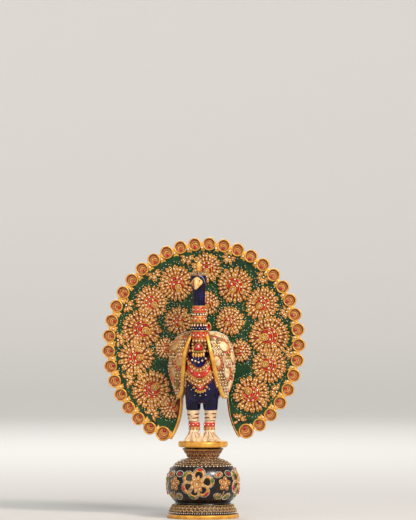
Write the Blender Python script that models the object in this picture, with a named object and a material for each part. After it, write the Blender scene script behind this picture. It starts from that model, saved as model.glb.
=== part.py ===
"""Painted marble peacock with its tail spread, standing on a pot-shaped pedestal.

Three carved pieces stand on each other: the turned pedestal, the bird with the round plinth
under its feet, and the scalloped tail plate that is fixed against the bird's flat back.
The bird faces -Y, +Z is up, and the origin is the middle of the pedestal's underside.
Sizes are in millimetres and angles in degrees, until points() turns them into metres.
"""

import math

import bmesh
import bpy
from mathutils import Vector

MM = 0.001
JOINT_GAP = 0.3  # between two pieces that rest on each other

# Pedestal: foot rim, sloping foot, bulb, waist, flared collar and the seat for the plinth.
FOOT_RADIUS = 49.0
FOOT_RIM_HEIGHT = 5.5
FOOT_STEP = 1.8
FOOT_SLOPE_HEIGHT = 13.0
FOOT_SLOPE_INSET = 7.0
GROOVE_RADIUS = 37.8
GROOVE_HEIGHT = 3.0
BULB_RADIUS = 50.6
BULB_LOWER_HEIGHT = 23.3
BULB_UPPER_HEIGHT = 35.6
BULB_LOWER_SQUARENESS = 2.0
BULB_UPPER_SQUARENESS = 2.5
WAIST_RADIUS = 19.7
COLLAR_RADIUS = 28.1
COLLAR_HEIGHT = 13.6
COLLAR_LIP = 1.6
SEAT_RADIUS = 25.0
SEAT_HEIGHT = 1.6
PEDESTAL_SEGMENTS = 36

# Plinth under the feet, carved in one with the bird.
PLINTH_RADIUS = 33.5
PLINTH_THICKNESS = 8.0
PLINTH_ROUNDING = 2.6
PLINTH_SEGMENTS = 32

# Legs: the feet stand on the plinth, and heights are above its top.
LEG_SPREAD = 11.8  # half the distance between the legs
LEG_Y = -8.5
ANKLE_RADIUS = 7.0
ANKLET_RADIUS = 7.8
ANKLET_LOW = 20.0
ANKLET_HIGH = 25.5
LEG_TOP_RADIUS = 8.3
LEG_HEIGHT = 42.0
LEG_SEGMENTS = 16
# Each row: height, share of the spread of the toes.
FOOT = ((-1.0, 1.0), (2.4, 0.96), (5.6, 0.66), (10.0, 0.3), (15.0, 0.0))
TOE_REACH = 21.0
TOE_ANGLES = (-22.0, 12.0, 47.0)
TOE_NARROWNESS = 3.4
HEEL_REACH = 9.5
# Each row: height, half width, reach ahead of the legs, of the stone left between the feet.
WEB = ((-1.0, 10.0, 19.0), (3.0, 9.0, 18.0), (8.0, 6.0, 11.0), (12.0, 5.0, 4.0))
WEB_BACK = 4.0
THIGH_BOTTOM_RADIUS = 9.7
THIGH_TOP_WIDTH = 12.6
THIGH_TOP_DEPTH = 14.0
THIGH_HEIGHT = 40.0

# Tail plate: a dished oval with a flat middle, a notch for the legs and cups round its edge.
FAN_CENTRE_Z = 235.0
FAN_HALF_WIDTH = 130.9  # to the middle of the cups
FAN_HALF_HEIGHT = 137.0
FAN_TILT = 14.0  # the long axis of the oval leans to +X by this angle
FAN_FRONT_Y = 7.0  # front of the flat middle
FAN_FLAT_SHARE = 0.66  # share of the plate's half width and height that is flat
FAN_DISH = 5.0
FAN_THICKNESS = 13.0
FAN_EDGE_THICKNESS = 9.0
FAN_ROLL = -1.4
NOTCH_SHARE = 0.52  # the notch starts at this share of the plate's half height
NOTCH_TOP_HALF_WIDTH = 30.5
NOTCH_LOW_HALF_WIDTH = 46.5
NOTCH_FLARE = 2.4
CUP_COUNT = 36
CUP_PITCH = 8.77
CUP_RADIUS = 9.0
CUP_BACK_RADIUS = 7.5
END_CUP_SCALE = 1.14
END_CUP_SHARE = 0.978
CUP_PROUD = 1.1
BOWL_RADIUS = 6.5
BOWL_DEPTH = 2.8
FAN_COLUMNS = 60
NOTCH_COLUMNS = 8
FAN_FRONT_SHARES = (0.66, 0.84, 1.0)
FAN_BACK_SHARES = (0.76, 1.0)

# Raised feather eyes on the tail plate: angle from the top, share of the plate, scale.
EYE_HALF_LENGTH = 23.0
EYE_HALF_WIDTH = 19.0
EYE_RELIEF = 1.0
EYE_PETALS = 10
EYE_PETAL_DEPTH = 0.16
FEATHER_EYES = (
    (3.2, 0.82, 0.86),
    (5.0, 0.42, 0.7),
    (28.3, 0.683, 1.0),
    (56.4, 0.734, 0.94),
    (82.0, 0.706, 1.0),
    (107.0, 0.725, 0.92),
    (136.0, 0.71, 1.0),
    (-24.8, 0.686, 1.0),
    (-52.0, 0.705, 0.94),
    (-77.5, 0.69, 0.96),
    (-102.5, 0.74, 0.92),
    (-130.4, 0.725, 1.0),
    (49.4, 0.363, 0.72),
    (-46.4, 0.343, 0.72),
)

# Bird, in heights above the plinth's top. The torso's flat back lies against the tail plate.
# Each station: height, half width, reach forward of the pedestal's axis.
TORSO = (
    (52.0, 17.0, 20.0),
    (60.0, 23.0, 27.0),
    (72.0, 27.0, 32.5),
    (87.0, 26.5, 36.5),
    (103.0, 24.0, 38.0),
    (119.0, 21.0, 36.5),
    (133.0, 17.0, 33.5),
    (142.0, 13.5, 34.0),
    (147.0, 8.0, 28.0),
)
TORSO_SQUARENESS = 2.2
# Each station: height, outer half width, front edge's half width, front edge's reach forward.
WING = (
    (58.0, 34.5, 33.0, 9.5),
    (61.5, 37.0, 31.6, 11.3),
    (68.0, 40.0, 29.2, 14.0),
    (76.0, 42.4, 27.2, 19.0),
    (90.0, 45.2, 25.0, 28.5),
    (105.0, 46.0, 23.4, 36.0),
    (120.5, 44.2, 21.0, 40.5),
    (134.0, 39.8, 17.6, 38.0),
    (142.5, 32.0, 14.6, 34.0),
    (147.5, 21.0, 12.4, 28.5),
)
WING_WIDEST_Y = -9.6
WING_EDGE_WIDTH = 5.4
WING_EDGE_SLANT = 1.6
WING_BACK_TUCK = 3.0
BACK_SPARE = 3.0  # how far the torso and wings run past the flat back before they are trimmed
# Each station: height, forward reach of the middle, half width, half depth.
NECK = (
    (128.0, 24.0, 12.5, 10.0),
    (140.0, 27.0, 11.4, 11.0),
    (150.0, 29.5, 10.4, 11.0),
    (160.0, 30.5, 9.6, 10.0),
    (172.0, 30.8, 8.7, 9.2),
    (188.0, 30.8, 8.4, 8.8),
    (202.0, 31.5, 8.7, 9.4),
    (209.0, 33.2, 9.8, 11.4),
    (216.0, 35.4, 10.8, 13.2),
    (222.0, 35.8, 11.0, 13.0),
    (226.5, 35.2, 9.8, 11.4),
    (229.3, 34.4, 6.8, 8.2),
)
NECK_SEGMENTS = 16
# Each station: forward reach, height, half width, half height, of the beak from inside the head.
BEAK = (
    (40.0, 216.8, 7.6, 6.4),
    (46.5, 216.6, 8.2, 6.5),
    (50.0, 214.9, 7.7, 5.7),
    (53.6, 211.4, 5.3, 4.5),
    (55.8, 208.2, 2.8, 2.7),
    (56.2, 206.0, 1.0, 1.2),
)
BEAK_SEGMENTS = 12
# Each station: height above the top of the plinth, radius of the crest.
CREST_Y = -33.7
CREST = (
    (226.0, 2.6),
    (232.0, 2.5),
    (237.0, 3.0),
    (242.0, 3.5),
    (245.2, 2.9),
    (246.9, 1.2),
)
CREST_SEGMENTS = 10

# Worked out from the sizes above.
BULB_LOW_Z = FOOT_RIM_HEIGHT + FOOT_SLOPE_HEIGHT + GROOVE_HEIGHT
BULB_MIDDLE_Z = BULB_LOW_Z + BULB_LOWER_HEIGHT
WAIST_Z = BULB_MIDDLE_Z + BULB_UPPER_HEIGHT
COLLAR_Z = WAIST_Z + COLLAR_HEIGHT
PEDESTAL_TOP = COLLAR_Z + SEAT_HEIGHT
PLINTH_LOW = PEDESTAL_TOP + JOINT_GAP
PLINTH_TOP = PLINTH_LOW + PLINTH_THICKNESS
BACK_Y = FAN_FRONT_Y - JOINT_GAP


def points(ring):
    """A ring of (x, y, z) in millimetres as points in metres."""
    return [Vector(p) * MM for p in ring]


def make_object(name, mesh_data):
    """Turns a bmesh into an object, with its faces pointing out."""
    bmesh.ops.recalc_face_normals(mesh_data, faces=mesh_data.faces)
    mesh = bpy.data.meshes.new(name)
    mesh_data.to_mesh(mesh)
    mesh_data.free()
    made = bpy.data.objects.new(name, mesh)
    bpy.context.scene.collection.objects.link(made)
    return made


def add_loft(mesh_data, rings):
    """Adds a closed skin through rings of equal length, with both ends filled."""
    loops = [[mesh_data.verts.new(p) for p in points(ring)] for ring in rings]
    count = len(loops[0])
    for low, high in zip(loops, loops[1:]):
        for i in range(count):
            j = (i + 1) % count
            mesh_data.faces.new((low[i], low[j], high[j], high[i]))
    mesh_data.faces.new(loops[0])
    mesh_data.faces.new(loops[-1])


def loft(name, rings):
    """One object with a closed skin through the rings."""
    mesh_data = bmesh.new()
    add_loft(mesh_data, rings)
    return make_object(name, mesh_data)


def circle(x, y, z, half_width, half_depth, segments):
    """A level ring of an ellipse round (x, y)."""
    turns = [math.tau * i / segments for i in range(segments)]
    return [(x + half_width * math.cos(a), y + half_depth * math.sin(a), z) for a in turns]


def smooth_stations(stations, steps):
    """Rows between the given ones, on a curve that passes through them."""
    rows = [stations[0]]
    last = len(stations) - 1
    for i in range(last):
        before, start, end, after = (stations[max(0, min(last, i + k))] for k in (-1, 0, 1, 2))
        for step in range(1, steps + 1):
            t = step / steps
            rows.append(tuple(curve_through(*column, t) for column in zip(before, start, end, after)))
    return rows


def curve_through(before, start, end, after, t):
    """A Catmull-Rom curve between start and end."""
    slope_in = (end - before) / 2
    slope_out = (after - start) / 2
    blend = t * t * (3 - 2 * t)
    return (
        start * (1 - blend)
        + end * blend
        + slope_in * t * (1 - t) ** 2
        - slope_out * t * t * (1 - t)
    )


def boolean(target, tool, operation, crossing=False):
    """Joins tool to target or cuts it out, and hides the tool. The parts of a crossing tool may overlap."""
    modifier = target.modifiers.new(f"{operation.lower()}_{tool.name}", "BOOLEAN")
    modifier.object = tool
    modifier.operation = operation
    modifier.solver = "EXACT"
    modifier.use_self = crossing
    tool.hide_render = True
    tool.display_type = "WIRE"


def paint(made, colour, roughness, metallic=0.0):
    """Gives the piece its own material."""
    material = bpy.data.materials.new(f"{made.name}_paint")
    material.use_nodes = True
    shader = material.node_tree.nodes["Principled BSDF"]
    shader.inputs["Base Color"].default_value = (*colour, 1.0)
    shader.inputs["Roughness"].default_value = roughness
    shader.inputs["Metallic"].default_value = metallic
    made.data.materials.append(material)


def superellipse(share, squareness):
    """The other coordinate of a unit superellipse."""
    return max(0.0, 1.0 - abs(share) ** squareness) ** (1.0 / squareness)


def bulb_half(end_radius, height, squareness, steps):
    """Radius and distance from the widest level, for half of the bulb down to end_radius."""
    share = superellipse(end_radius / BULB_RADIUS, squareness)
    rows = []
    for i in range(steps + 1):
        reach = math.sin(math.asin(share) * i / steps)
        rows.append((BULB_RADIUS * superellipse(reach, squareness), height * reach / share))
    return rows


def bulb_profile(lower_steps, upper_steps):
    """Radius and height along the bulb, from the groove up to the waist."""
    low = bulb_half(GROOVE_RADIUS, BULB_LOWER_HEIGHT, BULB_LOWER_SQUARENESS, lower_steps)
    high = bulb_half(WAIST_RADIUS, BULB_UPPER_HEIGHT, BULB_UPPER_SQUARENESS, upper_steps)
    rows = [(radius, BULB_MIDDLE_Z - down) for radius, down in reversed(low[1:])]
    return rows + [(radius, BULB_MIDDLE_Z + up) for radius, up in high]


def make_pedestal():
    """The turned pot-shaped stand, solid to its top."""
    slope_low = FOOT_RADIUS - FOOT_STEP
    slope_top = FOOT_RIM_HEIGHT + FOOT_SLOPE_HEIGHT
    profile = [
        (FOOT_RADIUS - 0.8, 0.0),
        (FOOT_RADIUS, 0.8),
        (FOOT_RADIUS, FOOT_RIM_HEIGHT - 0.8),
        (FOOT_RADIUS - 0.8, FOOT_RIM_HEIGHT),
        (slope_low, FOOT_RIM_HEIGHT + 0.1),
        (slope_low - FOOT_SLOPE_INSET * 0.4, FOOT_RIM_HEIGHT + FOOT_SLOPE_HEIGHT * 0.5),
        (slope_low - FOOT_SLOPE_INSET, slope_top),
        (GROOVE_RADIUS, slope_top + GROOVE_HEIGHT * 0.3),
    ]
    profile += bulb_profile(4, 8)
    profile += [
        (WAIST_RADIUS + (COLLAR_RADIUS - WAIST_RADIUS) * 0.42, WAIST_Z + COLLAR_HEIGHT * 0.5),
        (COLLAR_RADIUS, COLLAR_Z - COLLAR_LIP),
        (COLLAR_RADIUS, COLLAR_Z),
        (SEAT_RADIUS, COLLAR_Z + 0.05),
        (SEAT_RADIUS, PEDESTAL_TOP),
    ]
    rings = [circle(0, 0, z, radius, radius, PEDESTAL_SEGMENTS) for radius, z in profile]
    pedestal = loft("pedestal", rings)
    pedestal.data.shade_smooth()
    pedestal.data.set_sharp_from_angle(angle=math.radians(40))
    paint(pedestal, (0.035, 0.022, 0.02), 0.2)
    return pedestal


def make_plinth():
    """The rounded disc under the feet."""
    profile = []
    for corner_z, turn in ((PLINTH_LOW + PLINTH_ROUNDING, -90.0), (PLINTH_TOP - PLINTH_ROUNDING, 0.0)):
        for step in range(3):
            angle = math.radians(turn + 45.0 * step)
            radius = PLINTH_RADIUS - PLINTH_ROUNDING * (1.0 - math.cos(angle))
            profile.append((radius, corner_z + PLINTH_ROUNDING * math.sin(angle)))
    rings = [circle(0, 0, z, radius, radius, PLINTH_SEGMENTS) for radius, z in profile]
    return loft("peacock", rings)


def torso_ring(height, half_width, reach):
    """A rounded front between two sides that run back to the tail plate."""
    ring = []
    steps = 14
    for i in range(steps + 1):
        share = math.cos(math.pi * i / steps)
        depth = superellipse(share, TORSO_SQUARENESS)
        ring.append((half_width * share, -reach * depth, PLINTH_TOP + height))
    for x in (-half_width, half_width):
        ring.append((x, BACK_Y + BACK_SPARE * 1.3, PLINTH_TOP + height))
    return ring


def make_torso():
    return loft("torso", [torso_ring(*row) for row in smooth_stations(TORSO, 1)])


def wing_ring(side, height, outer, edge, reach):
    """One wing's level cut: the slanted front edge, the bulging side and the flat back."""
    z = PLINTH_TOP + height
    inner = edge - WING_EDGE_WIDTH
    front = reach - WING_EDGE_SLANT
    ring = [(inner, BACK_Y + BACK_SPARE), (inner, -reach + 0.6), (inner + 0.9, -reach)]
    ring.append((edge - 0.5, -front - 0.2))
    steps = 7
    for i in range(steps + 1):
        turn = math.pi / 2 * i / steps
        x = edge + (outer - edge) * math.sin(turn)
        y = WING_WIDEST_Y - max(0.0, front + WING_WIDEST_Y) * math.cos(turn)
        ring.append((x, y))
    ring.append((outer - WING_BACK_TUCK * 0.3, (WING_WIDEST_Y + BACK_Y) * 0.5))
    ring.append((outer - WING_BACK_TUCK, BACK_Y + BACK_SPARE))
    return [(side * x, y, z) for x, y in ring]


def make_wing(side, name):
    return loft(name, [wing_ring(side, *row) for row in smooth_stations(WING, 1)])


def make_neck():
    """The neck and head as one skin."""
    rings = []
    for height, reach, half_width, half_depth in NECK:
        rings.append(circle(0, -reach, PLINTH_TOP + height, half_width, half_depth, NECK_SEGMENTS))
    return loft("neck_and_head", rings)


def make_beak():
    """The broad beak, bent forward and down: its rings turn to follow the bend."""
    rings = []
    last = len(BEAK) - 1
    for i, (reach, height, half_width, half_height) in enumerate(BEAK):
        ahead = BEAK[min(last, i + 1)]
        behind = BEAK[max(0, i - 1)]
        along = Vector((0.0, behind[0] - ahead[0], ahead[1] - behind[1])).normalized()
        up = Vector((1.0, 0.0, 0.0)).cross(along).normalized()
        middle = Vector((0.0, -reach, PLINTH_TOP + height))
        ring = []
        for k in range(BEAK_SEGMENTS):
            turn = math.tau * k / BEAK_SEGMENTS
            offset = Vector((half_width * math.cos(turn), 0.0, 0.0)) + up * half_height * math.sin(turn)
            ring.append(tuple(middle + offset))
        rings.append(ring)
    return loft("beak", rings)


def make_crest():
    rings = [circle(0, CREST_Y, PLINTH_TOP + z, r, r, CREST_SEGMENTS) for z, r in CREST]
    return loft("crest", rings)


def foot_reach(turn):
    """How far the foot spreads in the direction that lies turn degrees from straight ahead."""
    reach = HEEL_REACH
    for toe in TOE_ANGLES:
        off = abs((turn - toe + 180.0) % 360.0 - 180.0)
        spread = math.cos(math.radians(min(90.0, off * TOE_NARROWNESS)))
        reach = max(reach, HEEL_REACH + (TOE_REACH - HEEL_REACH) * spread)
    return reach


def make_leg(side, name):
    """Toes, ankle and anklet in one skin, from inside the plinth to inside the thigh."""
    stations = [(height, ANKLE_RADIUS, share) for height, share in FOOT]
    stations += [
        (ANKLET_LOW, ANKLE_RADIUS, 0.0),
        (ANKLET_LOW + 0.2, ANKLET_RADIUS, 0.0),
        (ANKLET_HIGH - 0.2, ANKLET_RADIUS, 0.0),
        (ANKLET_HIGH, ANKLE_RADIUS, 0.0),
        (LEG_HEIGHT + 4.0, LEG_TOP_RADIUS, 0.0),
    ]
    rings = []
    for height, base, share in stations:
        ring = []
        for i in range(LEG_SEGMENTS):
            turn = 360.0 * i / LEG_SEGMENTS
            angle = math.radians(turn)
            reach = base + (foot_reach(turn) - base) * share
            x = side * LEG_SPREAD + reach * math.sin(angle)
            ring.append((x, LEG_Y - reach * math.cos(angle), PLINTH_TOP + height))
        rings.append(ring)
    return loft(name, rings)


def make_foot_web():
    """The stone that joins the inner toes, up to the gap between the ankles."""
    rings = []
    for height, half_width, reach in WEB:
        corners = ((-1, -reach), (1, -reach), (1, WEB_BACK), (-1, WEB_BACK))
        rings.append([(side * half_width, LEG_Y + y, PLINTH_TOP + height) for side, y in corners])
    return loft("foot_web", rings)


def make_thigh(side, name):
    """Feathered thigh, wide where it leaves the belly."""
    rings = []
    for share in (0.0, 0.2, 0.5, 1.0):
        width = THIGH_BOTTOM_RADIUS + (THIGH_TOP_WIDTH - THIGH_BOTTOM_RADIUS) * share
        depth = THIGH_BOTTOM_RADIUS + (THIGH_TOP_DEPTH - THIGH_BOTTOM_RADIUS) * share
        z = PLINTH_TOP + LEG_HEIGHT + THIGH_HEIGHT * share
        rings.append(circle(side * LEG_SPREAD, LEG_Y, z, width, depth, 16))
    return loft(name, rings)


def make_back_cutter():
    """Trims the bird to the flat that lies against the tail plate."""
    far_y = BACK_Y + BACK_SPARE * 4.0
    side = FAN_HALF_WIDTH
    corners = ((-side, BACK_Y), (side, BACK_Y), (side, far_y), (-side, far_y))
    levels = (PLINTH_TOP + ANKLET_HIGH, FAN_CENTRE_Z + FAN_HALF_HEIGHT)
    return loft("back_cutter", [[(x, y, z) for x, y in corners] for z in levels])


def make_bird():
    """The bird, its legs and the plinth as one carved solid."""
    bird = make_plinth()
    pieces = [make_torso(), make_neck(), make_beak(), make_crest()]
    for side, word in ((-1, "left"), (1, "right")):
        pieces.append(make_wing(side, f"{word}_wing"))
        pieces.append(make_thigh(side, f"{word}_thigh"))
        pieces.append(make_leg(side, f"{word}_leg"))
    pieces.append(make_foot_web())
    for piece in pieces:
        boolean(bird, piece, "UNION")
    boolean(bird, make_back_cutter(), "DIFFERENCE")
    paint(bird, (0.03, 0.03, 0.16), 0.25)
    return bird


def fan_point(turn, share, depth):
    """A point of the tail plate: turn from the top, share of the plate, depth along Y."""
    tilt = math.radians(FAN_TILT)
    angle = math.radians(turn + FAN_ROLL) - tilt
    across = FAN_HALF_WIDTH * share * math.sin(angle)
    along = FAN_HALF_HEIGHT * share * math.cos(angle)
    x = across * math.cos(tilt) + along * math.sin(tilt)
    return (x, depth, FAN_CENTRE_Z + along * math.cos(tilt) - across * math.sin(tilt))


def fan_share(x, z):
    """The share of the plate on which the point (x, z) lies."""
    tilt = math.radians(FAN_TILT)
    across = x * math.cos(tilt) - (z - FAN_CENTRE_Z) * math.sin(tilt)
    along = x * math.sin(tilt) + (z - FAN_CENTRE_Z) * math.cos(tilt)
    return math.hypot(across / FAN_HALF_WIDTH, along / FAN_HALF_HEIGHT)


def fan_front(share):
    """Y of the plate's front, flat in the middle and dished towards the edge."""
    bend = max(0.0, share - FAN_FLAT_SHARE) / (1.0 - FAN_FLAT_SHARE)
    return FAN_FRONT_Y - FAN_DISH * bend * bend


def fan_back(share):
    """Y of the plate's back, which is thinner at the edge."""
    thinner = (FAN_THICKNESS - FAN_EDGE_THICKNESS) * min(1.0, share)
    return fan_front(share) + FAN_THICKNESS - thinner


def notch_half_width(share):
    """Half the width of the notch, which flares towards its mouth."""
    depth = (share - NOTCH_SHARE) / (1.0 - NOTCH_SHARE)
    return NOTCH_TOP_HALF_WIDTH + (NOTCH_LOW_HALF_WIDTH - NOTCH_TOP_HALF_WIDTH) * depth**NOTCH_FLARE


def end_turn(share):
    """The angle from the top at which the plate stops beside the notch."""
    return 180.0 - math.degrees(math.asin(notch_half_width(share) / (FAN_HALF_WIDTH * share)))


def plate_ring(mesh_data, share, depth):
    """The plate's vertices at one share, from one side of the notch round to the other."""
    end = end_turn(share)
    turns = [-end + 2 * end * i / FAN_COLUMNS for i in range(FAN_COLUMNS + 1)]
    return [mesh_data.verts.new(p) for p in points(fan_point(t, share, depth(share)) for t in turns)]


def notch_top(mesh_data, depth):
    """The vertices across the top of the notch."""
    end = end_turn(NOTCH_SHARE)
    turns = [end + 2 * (180.0 - end) * i / NOTCH_COLUMNS for i in range(1, NOTCH_COLUMNS)]
    level = [fan_point(t, NOTCH_SHARE, depth(NOTCH_SHARE)) for t in turns]
    return [mesh_data.verts.new(p) for p in points(level)]


def plate_face(mesh_data, shares, depth):
    """One side of the plate: the full disc inside the notch, then rings up to the edge."""
    middle = mesh_data.verts.new(points([fan_point(0, 0, depth(0))])[0])
    rings = [plate_ring(mesh_data, share, depth) for share in (NOTCH_SHARE, *shares)]
    notch = notch_top(mesh_data, depth)
    disc = rings[0] + notch
    for i, vertex in enumerate(disc):
        mesh_data.faces.new((middle, vertex, disc[(i + 1) % len(disc)]))
    for low, high in zip(rings, rings[1:]):
        for i in range(FAN_COLUMNS):
            mesh_data.faces.new((low[i], low[i + 1], high[i + 1], high[i]))
    return rings, notch


def make_plate():
    """The dished oval plate with the notch for the legs."""
    mesh_data = bmesh.new()
    front, front_notch = plate_face(mesh_data, FAN_FRONT_SHARES, fan_front)
    back, back_notch = plate_face(mesh_data, FAN_BACK_SHARES, fan_back)
    front_top = [front[0][-1], *front_notch, front[0][0]]
    back_top = [back[0][-1], *back_notch, back[0][0]]
    for near, far in ((front[-1], back[-1]), (front_top, back_top)):
        for i in range(len(near) - 1):
            mesh_data.faces.new((near[i], near[i + 1], far[i + 1], far[i]))
    for column in (0, -1):
        near = [ring[column] for ring in front]
        far = [ring[column] for ring in back]
        mesh_data.faces.new(near + far[::-1])
    return make_object("tail_fan", mesh_data)


def cup_turns():
    """The angle of each cup from the top of the plate."""
    return [(i - (CUP_COUNT - 1) / 2) * CUP_PITCH for i in range(CUP_COUNT)]


def cup_scale_and_share(i):
    """The cups at both ends are larger and sit a little further in."""
    if i in (0, CUP_COUNT - 1):
        return END_CUP_SCALE, END_CUP_SHARE
    return 1.0, 1.0


def upright_ring(middle, radius, y, segments):
    """A ring round middle in an upright plane."""
    turns = [math.tau * k / segments for k in range(segments)]
    return [(middle[0] + radius * math.cos(a), y, middle[2] + radius * math.sin(a)) for a in turns]


def make_cups():
    """The round cups along the edge, before they are hollowed."""
    mesh_data = bmesh.new()
    front = fan_front(1.0) - CUP_PROUD
    back = fan_back(1.0) - 0.6
    for i, turn in enumerate(cup_turns()):
        scale, share = cup_scale_and_share(i)
        middle = fan_point(turn, share, 0.0)
        widths = ((CUP_RADIUS, front), (CUP_BACK_RADIUS, back))
        add_loft(mesh_data, [upright_ring(middle, radius * scale, y, 12) for radius, y in widths])
    return make_object("cups", mesh_data)


def make_bowls():
    """The hollows of the cups."""
    mesh_data = bmesh.new()
    front = fan_front(1.0) - CUP_PROUD
    for i, turn in enumerate(cup_turns()):
        scale, share = cup_scale_and_share(i)
        middle = fan_point(turn, share, 0.0)
        widths = ((BOWL_RADIUS + 1.0, front - 1.0), (BOWL_RADIUS * 0.62, front + BOWL_DEPTH))
        add_loft(mesh_data, [upright_ring(middle, radius * scale, y, 8) for radius, y in widths])
    return make_object("bowls", mesh_data)


def eye_ring(turn, share, scale, sink):
    """The petalled outline of a feather eye, sink millimetres behind its raised face."""
    ring = []
    middle = Vector(fan_point(turn, share, 0.0))
    outward = Vector(fan_point(turn, share + 0.1, 0.0)) - middle
    outward.normalize()
    across = Vector((outward.z, 0.0, -outward.x))
    count = EYE_PETALS * 2
    for i in range(count):
        angle = math.tau * i / count
        size = scale * (1.0 if i % 2 == 0 else 1.0 - EYE_PETAL_DEPTH)
        place = middle + outward * (EYE_HALF_LENGTH * size * math.cos(angle))
        place += across * (EYE_HALF_WIDTH * size * math.sin(angle))
        depth = fan_front(fan_share(place.x, place.z)) - EYE_RELIEF + sink
        ring.append((place.x, depth, place.z))
    return ring


def make_feather_eyes():
    """The raised petalled fields of the feather eyes."""
    mesh_data = bmesh.new()
    for turn, share, scale in FEATHER_EYES:
        add_loft(mesh_data, [eye_ring(turn, share, scale, 3.0), eye_ring(turn, share, scale, 0.0)])
    return make_object("feather_eyes", mesh_data)


def make_fan():
    """The tail plate with its cups and feather eyes as one carved solid."""
    fan = make_plate()
    boolean(fan, make_cups(), "UNION", crossing=True)
    boolean(fan, make_bowls(), "DIFFERENCE", crossing=True)
    boolean(fan, make_feather_eyes(), "UNION", crossing=True)
    paint(fan, (0.02, 0.16, 0.05), 0.35)
    return fan


def main():
    for old in list(bpy.data.objects):
        bpy.data.objects.remove(old, do_unlink=True)
    make_pedestal()
    make_bird()
    make_fan()


main()
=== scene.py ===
"""Looks of the painted marble peacock: fine forms, raised gold work, stones, paint, light, camera.

Lengths are in millimetres and angles in degrees until a mesh is made, and then in metres.
The bird faces -Y, +Z is up, and the origin is the middle of the pedestal's underside.
Places named by a photograph pixel are put on the surface that the photograph shows there.
"""

import math
import random

import bmesh
import bpy
from mathutils import Matrix, Vector
from mathutils.bvhtree import BVHTree


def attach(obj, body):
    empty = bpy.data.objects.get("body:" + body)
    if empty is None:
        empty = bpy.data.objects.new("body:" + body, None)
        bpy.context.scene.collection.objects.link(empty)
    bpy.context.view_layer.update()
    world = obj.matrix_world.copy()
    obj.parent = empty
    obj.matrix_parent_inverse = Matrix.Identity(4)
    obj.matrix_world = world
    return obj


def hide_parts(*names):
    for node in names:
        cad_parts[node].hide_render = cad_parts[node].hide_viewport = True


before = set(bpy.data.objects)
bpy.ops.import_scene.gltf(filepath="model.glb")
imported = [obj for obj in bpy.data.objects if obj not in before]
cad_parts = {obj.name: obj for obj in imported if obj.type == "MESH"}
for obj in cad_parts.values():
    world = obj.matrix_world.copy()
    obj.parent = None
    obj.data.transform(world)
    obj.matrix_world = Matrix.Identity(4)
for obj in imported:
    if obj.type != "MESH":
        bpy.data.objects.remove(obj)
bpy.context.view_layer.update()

MM = 0.001
UP = Vector((0, 0, 1))
FORWARD = Vector((0, -1, 0))
BACKWARD = Vector((0.0, 1.0, 0.0))

# The camera that the photograph was taken with, and the photograph's frame in pixels.
VIEW_TURN = 10.0
VIEW_DISTANCE = 5500.0
MM_PER_PIXEL = 1.358
FRAME_WIDTH = 416
FRAME_HEIGHT = 520
AXIS_PIXEL = 203.0
GROUND_PIXEL = 517.5
VIEW_ANGLE = math.radians(VIEW_TURN)
VIEW_RIGHT = Vector((math.cos(VIEW_ANGLE), math.sin(VIEW_ANGLE), 0))
VIEW_OUT = Vector((math.sin(VIEW_ANGLE), -math.cos(VIEW_ANGLE), 0))

# Pedestal, as in the part. The bulb is a little smaller, so that its relief stays inside the part.
FOOT_RADIUS = 49.0
FOOT_RIM_HEIGHT = 5.5
SLOPE_LOW_RADIUS = 46.6
SLOPE_TOP_RADIUS = 39.8
SLOPE_TOP = 18.5
GROOVE_RADIUS = 37.8
BULB_LOW = 21.5
BULB_MIDDLE = 44.8
BULB_RADIUS = 49.7
# How far the painted bulb lies inside at its widest, and the height above which it is dark.
RELIEF_DEPTH = 1.1
SHOULDER = 71.8
WAIST = 80.4
WAIST_RADIUS = 19.2
COLLAR_TOP = 94.0
PEDESTAL_TOP = 95.6

PLINTH_LOW = 95.9
PLINTH_TOP = 103.9
PLINTH_RADIUS = 33.5
PLINTH_ROUNDING = 2.6
LEG_HEIGHT = 42.0
LEG_SPREAD = 11.8
LEG_Y = -8.5
ANKLE_RADIUS = 7.0
HEEL_REACH = 9.5
TOE_LENGTH = 11.5
TOE_ANGLES = (-22.0, 12.0, 47.0)
TOE_NARROWNESS = 3.4
THIGH_RADIUS = 9.7
THIGH_HEIGHT = 40.0
BACK_Y = 6.7
# Each row: height above the plinth's top, and the share of the toes' spread that is left there.
FOOT_SPREAD = ((0.0, 1.0), (1.2, 0.99), (2.6, 0.94), (5.6, 0.66), (10.0, 0.3), (15.0, 0.0))
# Each row: height, half width, reach ahead and reach behind of the stone between the feet.
WEB = ((0.0, 10.0, 19.0, 4.0), (3.0, 9.0, 18.0, 4.0), (8.0, 5.0, 10.0, 3.4), (11.0, 3.0, 4.0, 2.6))

# Tail plate, as in the part.
FAN_CENTRE_Z = 235.0
FAN_HALF_WIDTH = 130.9
FAN_HALF_HEIGHT = 137.0
FAN_TILT = math.radians(14.0)
FAN_FRONT_Y = 7.0
FAN_FLAT_SHARE = 0.66
FAN_DISH = 5.0
FAN_ROLL = -1.4
FAN_THICKNESS = 13.0
FAN_THINNING = 4.0
NOTCH_SHARE = 0.52
NOTCH_HALF_WIDTH = 30.5
NOTCH_WIDENING = 16.0
NOTCH_FLARE = 2.4
NOTCH_BORDER = 3.5
CUP_COUNT = 36
CUP_PITCH = 8.77
CUP_RADIUS = 9.0
CUP_WALL = 1.0
# How far a cup's boss stands off its middle, towards the plate's middle.
BOSS_SHIFT = 3.9

# Each row: height above the plinth's top, half width, reach forward.
TORSO = (
    (52.0, 17.0, 20.0),
    (60.0, 23.0, 27.0),
    (72.0, 27.0, 32.5),
    (87.0, 26.5, 36.5),
    (103.0, 24.0, 38.0),
    (119.0, 21.0, 36.5),
    (133.0, 17.0, 33.5),
    (142.0, 13.5, 34.0),
    (147.0, 8.0, 28.0),
)
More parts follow.
